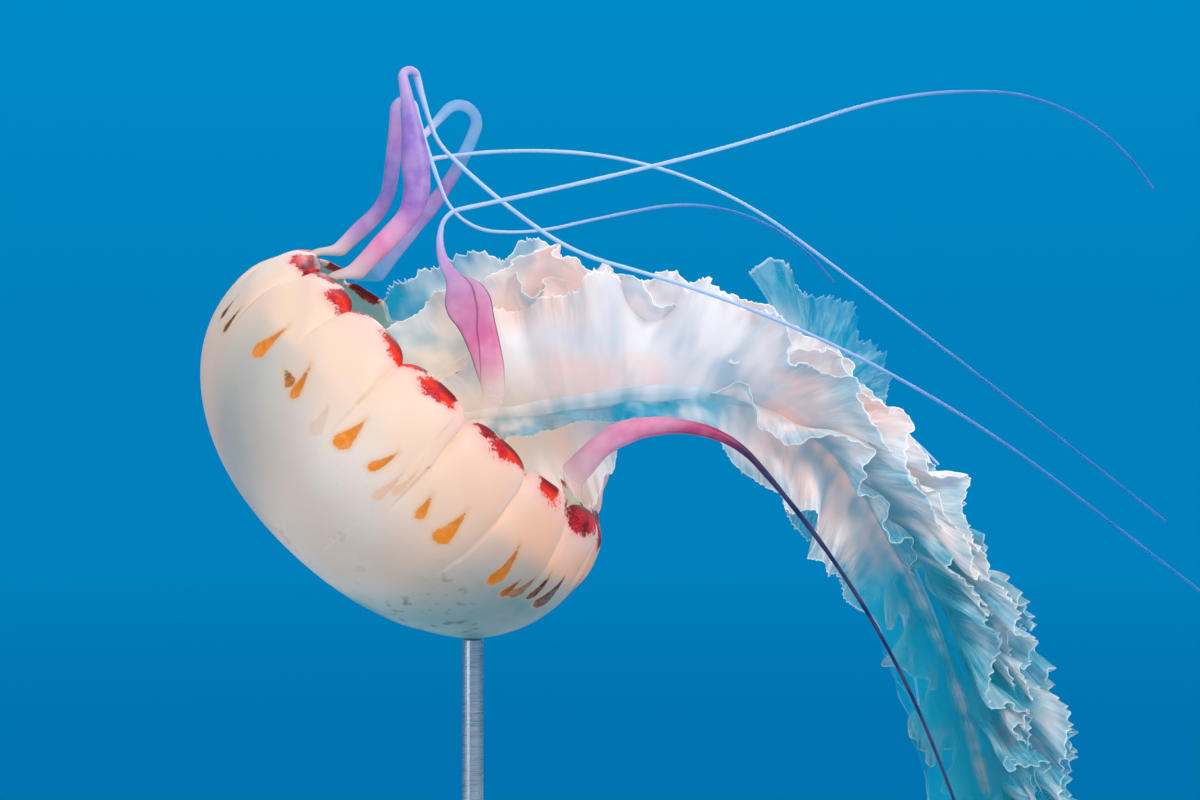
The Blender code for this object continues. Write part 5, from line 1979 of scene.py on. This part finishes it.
@dataclass
class Tentacles:
    """The eight tentacles, thick at the root and drawn out into filaments."""

    plans: tuple[TentaclePlan, ...] = TENTACLES
    root_inset: float = 0.0042
    root_height: float = 0.003
    step: float = 0.0006
    sides: int = 20
    start: float = 0.0012
    spread: float = 0.006
    rooting: float = 0.009
    unevenness: float = 0.06
    uneven_length: float = 0.03
    flat_ratio: Span = (1.6, 2.6)
    flat_from: Span = (0.03, 0.075)
    fold_from: float = 0.06
    fold_start: float = 0.7
    fold_slope: float = 16.0

    def route_of(self, plan: TentaclePlan) -> Route:
        """The path of a tentacle, the same as its CAD nodes'."""
        azimuth = math.radians(plan.azimuth)
        root = bell_point(BELL.margin_radius - self.root_inset, self.root_height, azimuth)
        start = Run(2 * self.root_height, 0, -2 * self.root_height * math.sin(BELL.turn))
        return Route(root, BELL.elevation, (start, *plan.runs))

    def body(self, number: int, plan: TentaclePlan) -> RingedBody:
        """Sweeps an oval along the path.

        Args:
            number: The tentacle's number, which chooses its unevenness.
            plan: Its plan.

        Returns:
            The tentacle's body.
        """
        route = self.route_of(plan)
        count = int(route.length / self.step)
        at = np.linspace(self.start, route.length, count)
        share = np.clip(at / route.length, 0.0, 1.0)
        girth = (*plan.girth, (1.0, FILAMENT_WIDTH, FILAMENT_WIDTH))
        width, thickness = at_stations(girth, share, plan.softness)
        uneven = (1.0 + self.unevenness * wander(at, self.uneven_length, 200 + number))[:, None, None]
        along = route.direction(at, reach=0.0016)
        wide = unit(np.cross(along, np.array([0.0, 1.0, 0.0])))
        thin = np.cross(along, wide)
        turn = TURN * np.arange(self.sides) / self.sides
        rounded = np.cos(turn)
        across = wide[:, None] * rounded[None, :, None] * (width[:, None, None] * uneven) * MM / 2
        depth = thin[:, None] * np.sin(turn)[None, :, None] * (thickness[:, None, None] * uneven) * MM / 2
        azimuth = math.radians(plan.azimuth)
        outward = bell_point(1.0, 0.0, azimuth) - bell_point(0.0, 0.0, azimuth)
        free = ramp(at, self.start, self.start + self.rooting)[:, None]
        middle = route.point(at) + outward * (self.spread * (1.0 - free))
        points = middle[:, None] + (across + depth) * (0.5 + 0.5 * free)[:, None]
        flat = ramp(width / thickness, *self.flat_ratio) * ramp(share, *self.flat_from)
        fold = self.fold_start - self.fold_slope * (share - self.fold_from)
        fold = fold + 0.1 * wander(at, 0.02, 230 + number)
        (clear,) = at_stations(plan.clear, share, 0.01)
        values = {
            "along": share[:, None],
            "around": rounded[None, :],
            "fold": rounded[None, :] - fold[:, None],
            "flat": flat[:, None],
            "clear": clear[:, None],
        }
        return RingedBody(points, Cap.FAN, values)

    def build(self) -> None:
        """Adds the tentacles."""
        for number, plan in enumerate(self.plans, start=1):
            nodes = [f"tentacle_{number}_{piece + 1}" for piece in range(plan.lengths)]
            body = self.body(number, plan)
            add_piece(f"tentacle_{number}_skin", body, plan.finish.material(), nodes)


# ---- stand


@dataclass(frozen=True)
class WoodFinish:
    """Dark oiled wood with grain along the base."""

    dark: Colour = paint(52, 36, 28)
    light: Colour = paint(96, 68, 50)

    def material(self) -> bpy.types.Material:
        """Builds the material."""
        made, sketch, shader = new_material("oiled_wood")
        drawn = sketch.stretched(sketch.position(), 3.0, 60.0, 60.0)
        grain = sketch.noise(drawn, 1.6, 5.0, 0.65)
        pores = sketch.noise(drawn, 14.0, 2.0, 0.7)
        colour = sketch.mix(sketch.fit(grain, 0.35, 0.65), self.dark, self.light)
        sketch.put(shader.inputs["Base Color"], colour)
        sketch.put(shader.inputs["Roughness"], sketch.fit(pores, 0.3, 0.7, 0.34, 0.5))
        add_relief(sketch, shader, pores, 0.15, 0.0004)
        return made


@dataclass(frozen=True)
class SteelFinish:
    """Brushed steel with fine lines round the rod."""

    tint: Colour = paint(196, 198, 200)
    dull: Colour = paint(150, 152, 156)

    def material(self) -> bpy.types.Material:
        """Builds the material."""
        made, sketch, shader = new_material("brushed_steel")
        shader.inputs["Metallic"].default_value = 1.0
        brush = sketch.noise(sketch.stretched(sketch.position(), 1.0, 1.0, 60.0), 90.0, 3.0, 0.6)
        worn = sketch.noise(sketch.position(), 60.0, 3.0)
        colour = sketch.mix(sketch.fit(worn, 0.4, 0.7, 0.0, 0.3), self.tint, self.dull)
        sketch.put(shader.inputs["Base Color"], colour)
        sketch.put(shader.inputs["Roughness"], sketch.fit(brush, 0.3, 0.7, 0.22, 0.4))
        add_relief(sketch, shader, brush, 0.1, 0.0002)
        return made


class Stand:
    """The CAD's base and rods, dressed in wood and steel."""

    def build(self) -> None:
        """Gives the stand's nodes their finishes."""
        wood = (WoodFinish().material(), Slot.WOOD)
        steel = (SteelFinish().material(), Slot.STEEL)
        dressed = {"stand_base": wood, "stand_rod_bell": steel, "stand_rod_arms": steel}
        for name, (finish, slot) in dressed.items():
            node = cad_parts[name]
            node.data.materials.clear()
            node.data.materials.append(finish)
            log.info("%s: CAD node kept", name)


# ---- studio


@dataclass(frozen=True)
class Lamp:
    """A soft square light: where it stands, its side, its power and its colour."""

    name: str
    place: tuple[float, float, float]
    side: float
    power: float
    colour: tuple[float, float, float]

    def build(self, target: Vector) -> None:
        """Adds the light, turned to the target."""
        data = bpy.data.lights.new(self.name, "AREA")
        data.size = self.side
        data.energy = self.power
        data.color = self.colour
        made = link_object(self.name, data)
        made.location = self.place
        made.rotation_euler = (target - Vector(self.place)).to_track_quat("-Z", "Y").to_euler()


@dataclass
class Studio:
    """Pale floor, soft lights, an even backdrop and the camera."""

    backdrop: Colour = paint(0, 128, 188)
    above: Colour = paint(0, 138, 200)
    below: Colour = paint(0, 114, 174)
    surroundings: Colour = (0.74, 0.86, 1.0, 1.0)
    surroundings_power: float = 0.55
    floor_tone: Colour = paint(206, 220, 228)
    floor_size: float = 60.0
    fade_start: float = 0.40
    fade_end: float = 0.78
    camera_place: tuple[float, float, float] = (-0.0076, -1.071, 0.2608)
    lens: float = 85.0
    lamps: tuple[Lamp, ...] = (
        Lamp("key_light", (0.75, -1.05, 1.15), 0.8, 18.0, (1.0, 0.965, 0.92)),
        Lamp("fill_light", (-1.2, -0.9, 0.5), 1.1, 7.0, (0.93, 0.97, 1.0)),
        Lamp("back_light", (0.25, 0.95, 1.0), 0.8, 12.0, (0.88, 0.95, 1.0)),
    )

    def build_world(self) -> None:
        """Makes the world: the backdrop's colour to the camera, soft white to everything else."""
        world = bpy.data.worlds.new("studio")
        bpy.context.scene.world = world
        world.use_nodes = True
        tree = world.node_tree
        tree.nodes.clear()
        sketch = Sketch(tree)
        toward = sketch.node("SeparateXYZ", Vector=sketch.node("TexCoord").outputs["Generated"])
        tone = sketch.mix(sketch.fit(toward.outputs["Z"], 0.0, 0.16), self.backdrop, self.above)
        seen = sketch.node("Background", Color=tone, Strength=1.0)
        lit = sketch.node("Background", Color=self.surroundings, Strength=self.surroundings_power)
        to_camera = sketch.node("LightPath").outputs["Is Camera Ray"]
        both = sketch.mix_shaders(to_camera, lit.outputs["Background"], seen.outputs["Background"])
        out = sketch.node("OutputWorld")
        sketch.put(out.inputs["Surface"], both)

    def build_floor(self) -> None:
        """Adds the floor, which fades into the backdrop with distance from the stand."""
        half = self.floor_size / 2
        low = float(cad_low.z)
        mesh = bpy.data.meshes.new("floor")
        corners = [(-half, -half, low), (half, -half, low), (half, half, low), (-half, half, low)]
        mesh.from_pydata(corners, [], [(0, 1, 2, 3)])
        link_object("floor", mesh)
        made, sketch, shader = new_material("floor_paint")
        shader.inputs["Base Color"].default_value = self.floor_tone
        shader.inputs["Roughness"].default_value = 0.7
        length = sketch.node("VectorMath", {"operation": "LENGTH"}, Vector=sketch.position())
        distance = length.outputs["Value"]
        tone = sketch.mix(sketch.fit(distance, 0.7, 3.5), self.below, self.backdrop)
        far = sketch.node("Emission", Color=tone).outputs["Emission"]
        fade = sketch.fit(distance, self.fade_start, self.fade_end)
        both = sketch.mix_shaders(fade, shader.outputs["BSDF"], far)
        sketch.put(made.node_tree.nodes["Material Output"].inputs["Surface"], both)
        mesh.materials.append(made)

    def build_camera(self) -> None:
        """Adds the camera, level and square to the stand."""
        data = bpy.data.cameras.new("camera")
        data.lens = self.lens
        data.clip_start = 0.05
        data.clip_end = 100.0
        made = link_object("camera", data)
        made.location = self.camera_place
        made.rotation_euler = (math.pi / 2, 0.0, 0.0)
        bpy.context.scene.camera = made

    def build(self) -> None:
        """Adds everything round the model."""
        self.build_world()
        self.build_floor()
        self.build_camera()
        bpy.context.scene.view_settings.view_transform = "Standard"
        middle = (cad_low + cad_high) / 2
        for lamp in self.lamps:
            lamp.build(middle)


def main() -> None:
    """Builds the model and its studio."""
    logging.basicConfig(level=logging.INFO, format="%(message)s")
    Studio().build()
    Stand().build()
    BellSkin().build()
    Manubrium().build()
    Arms(ARM_PLANS, Bundle()).build()
    Tentacles().build()


if __name__ == "__main__":
    main()
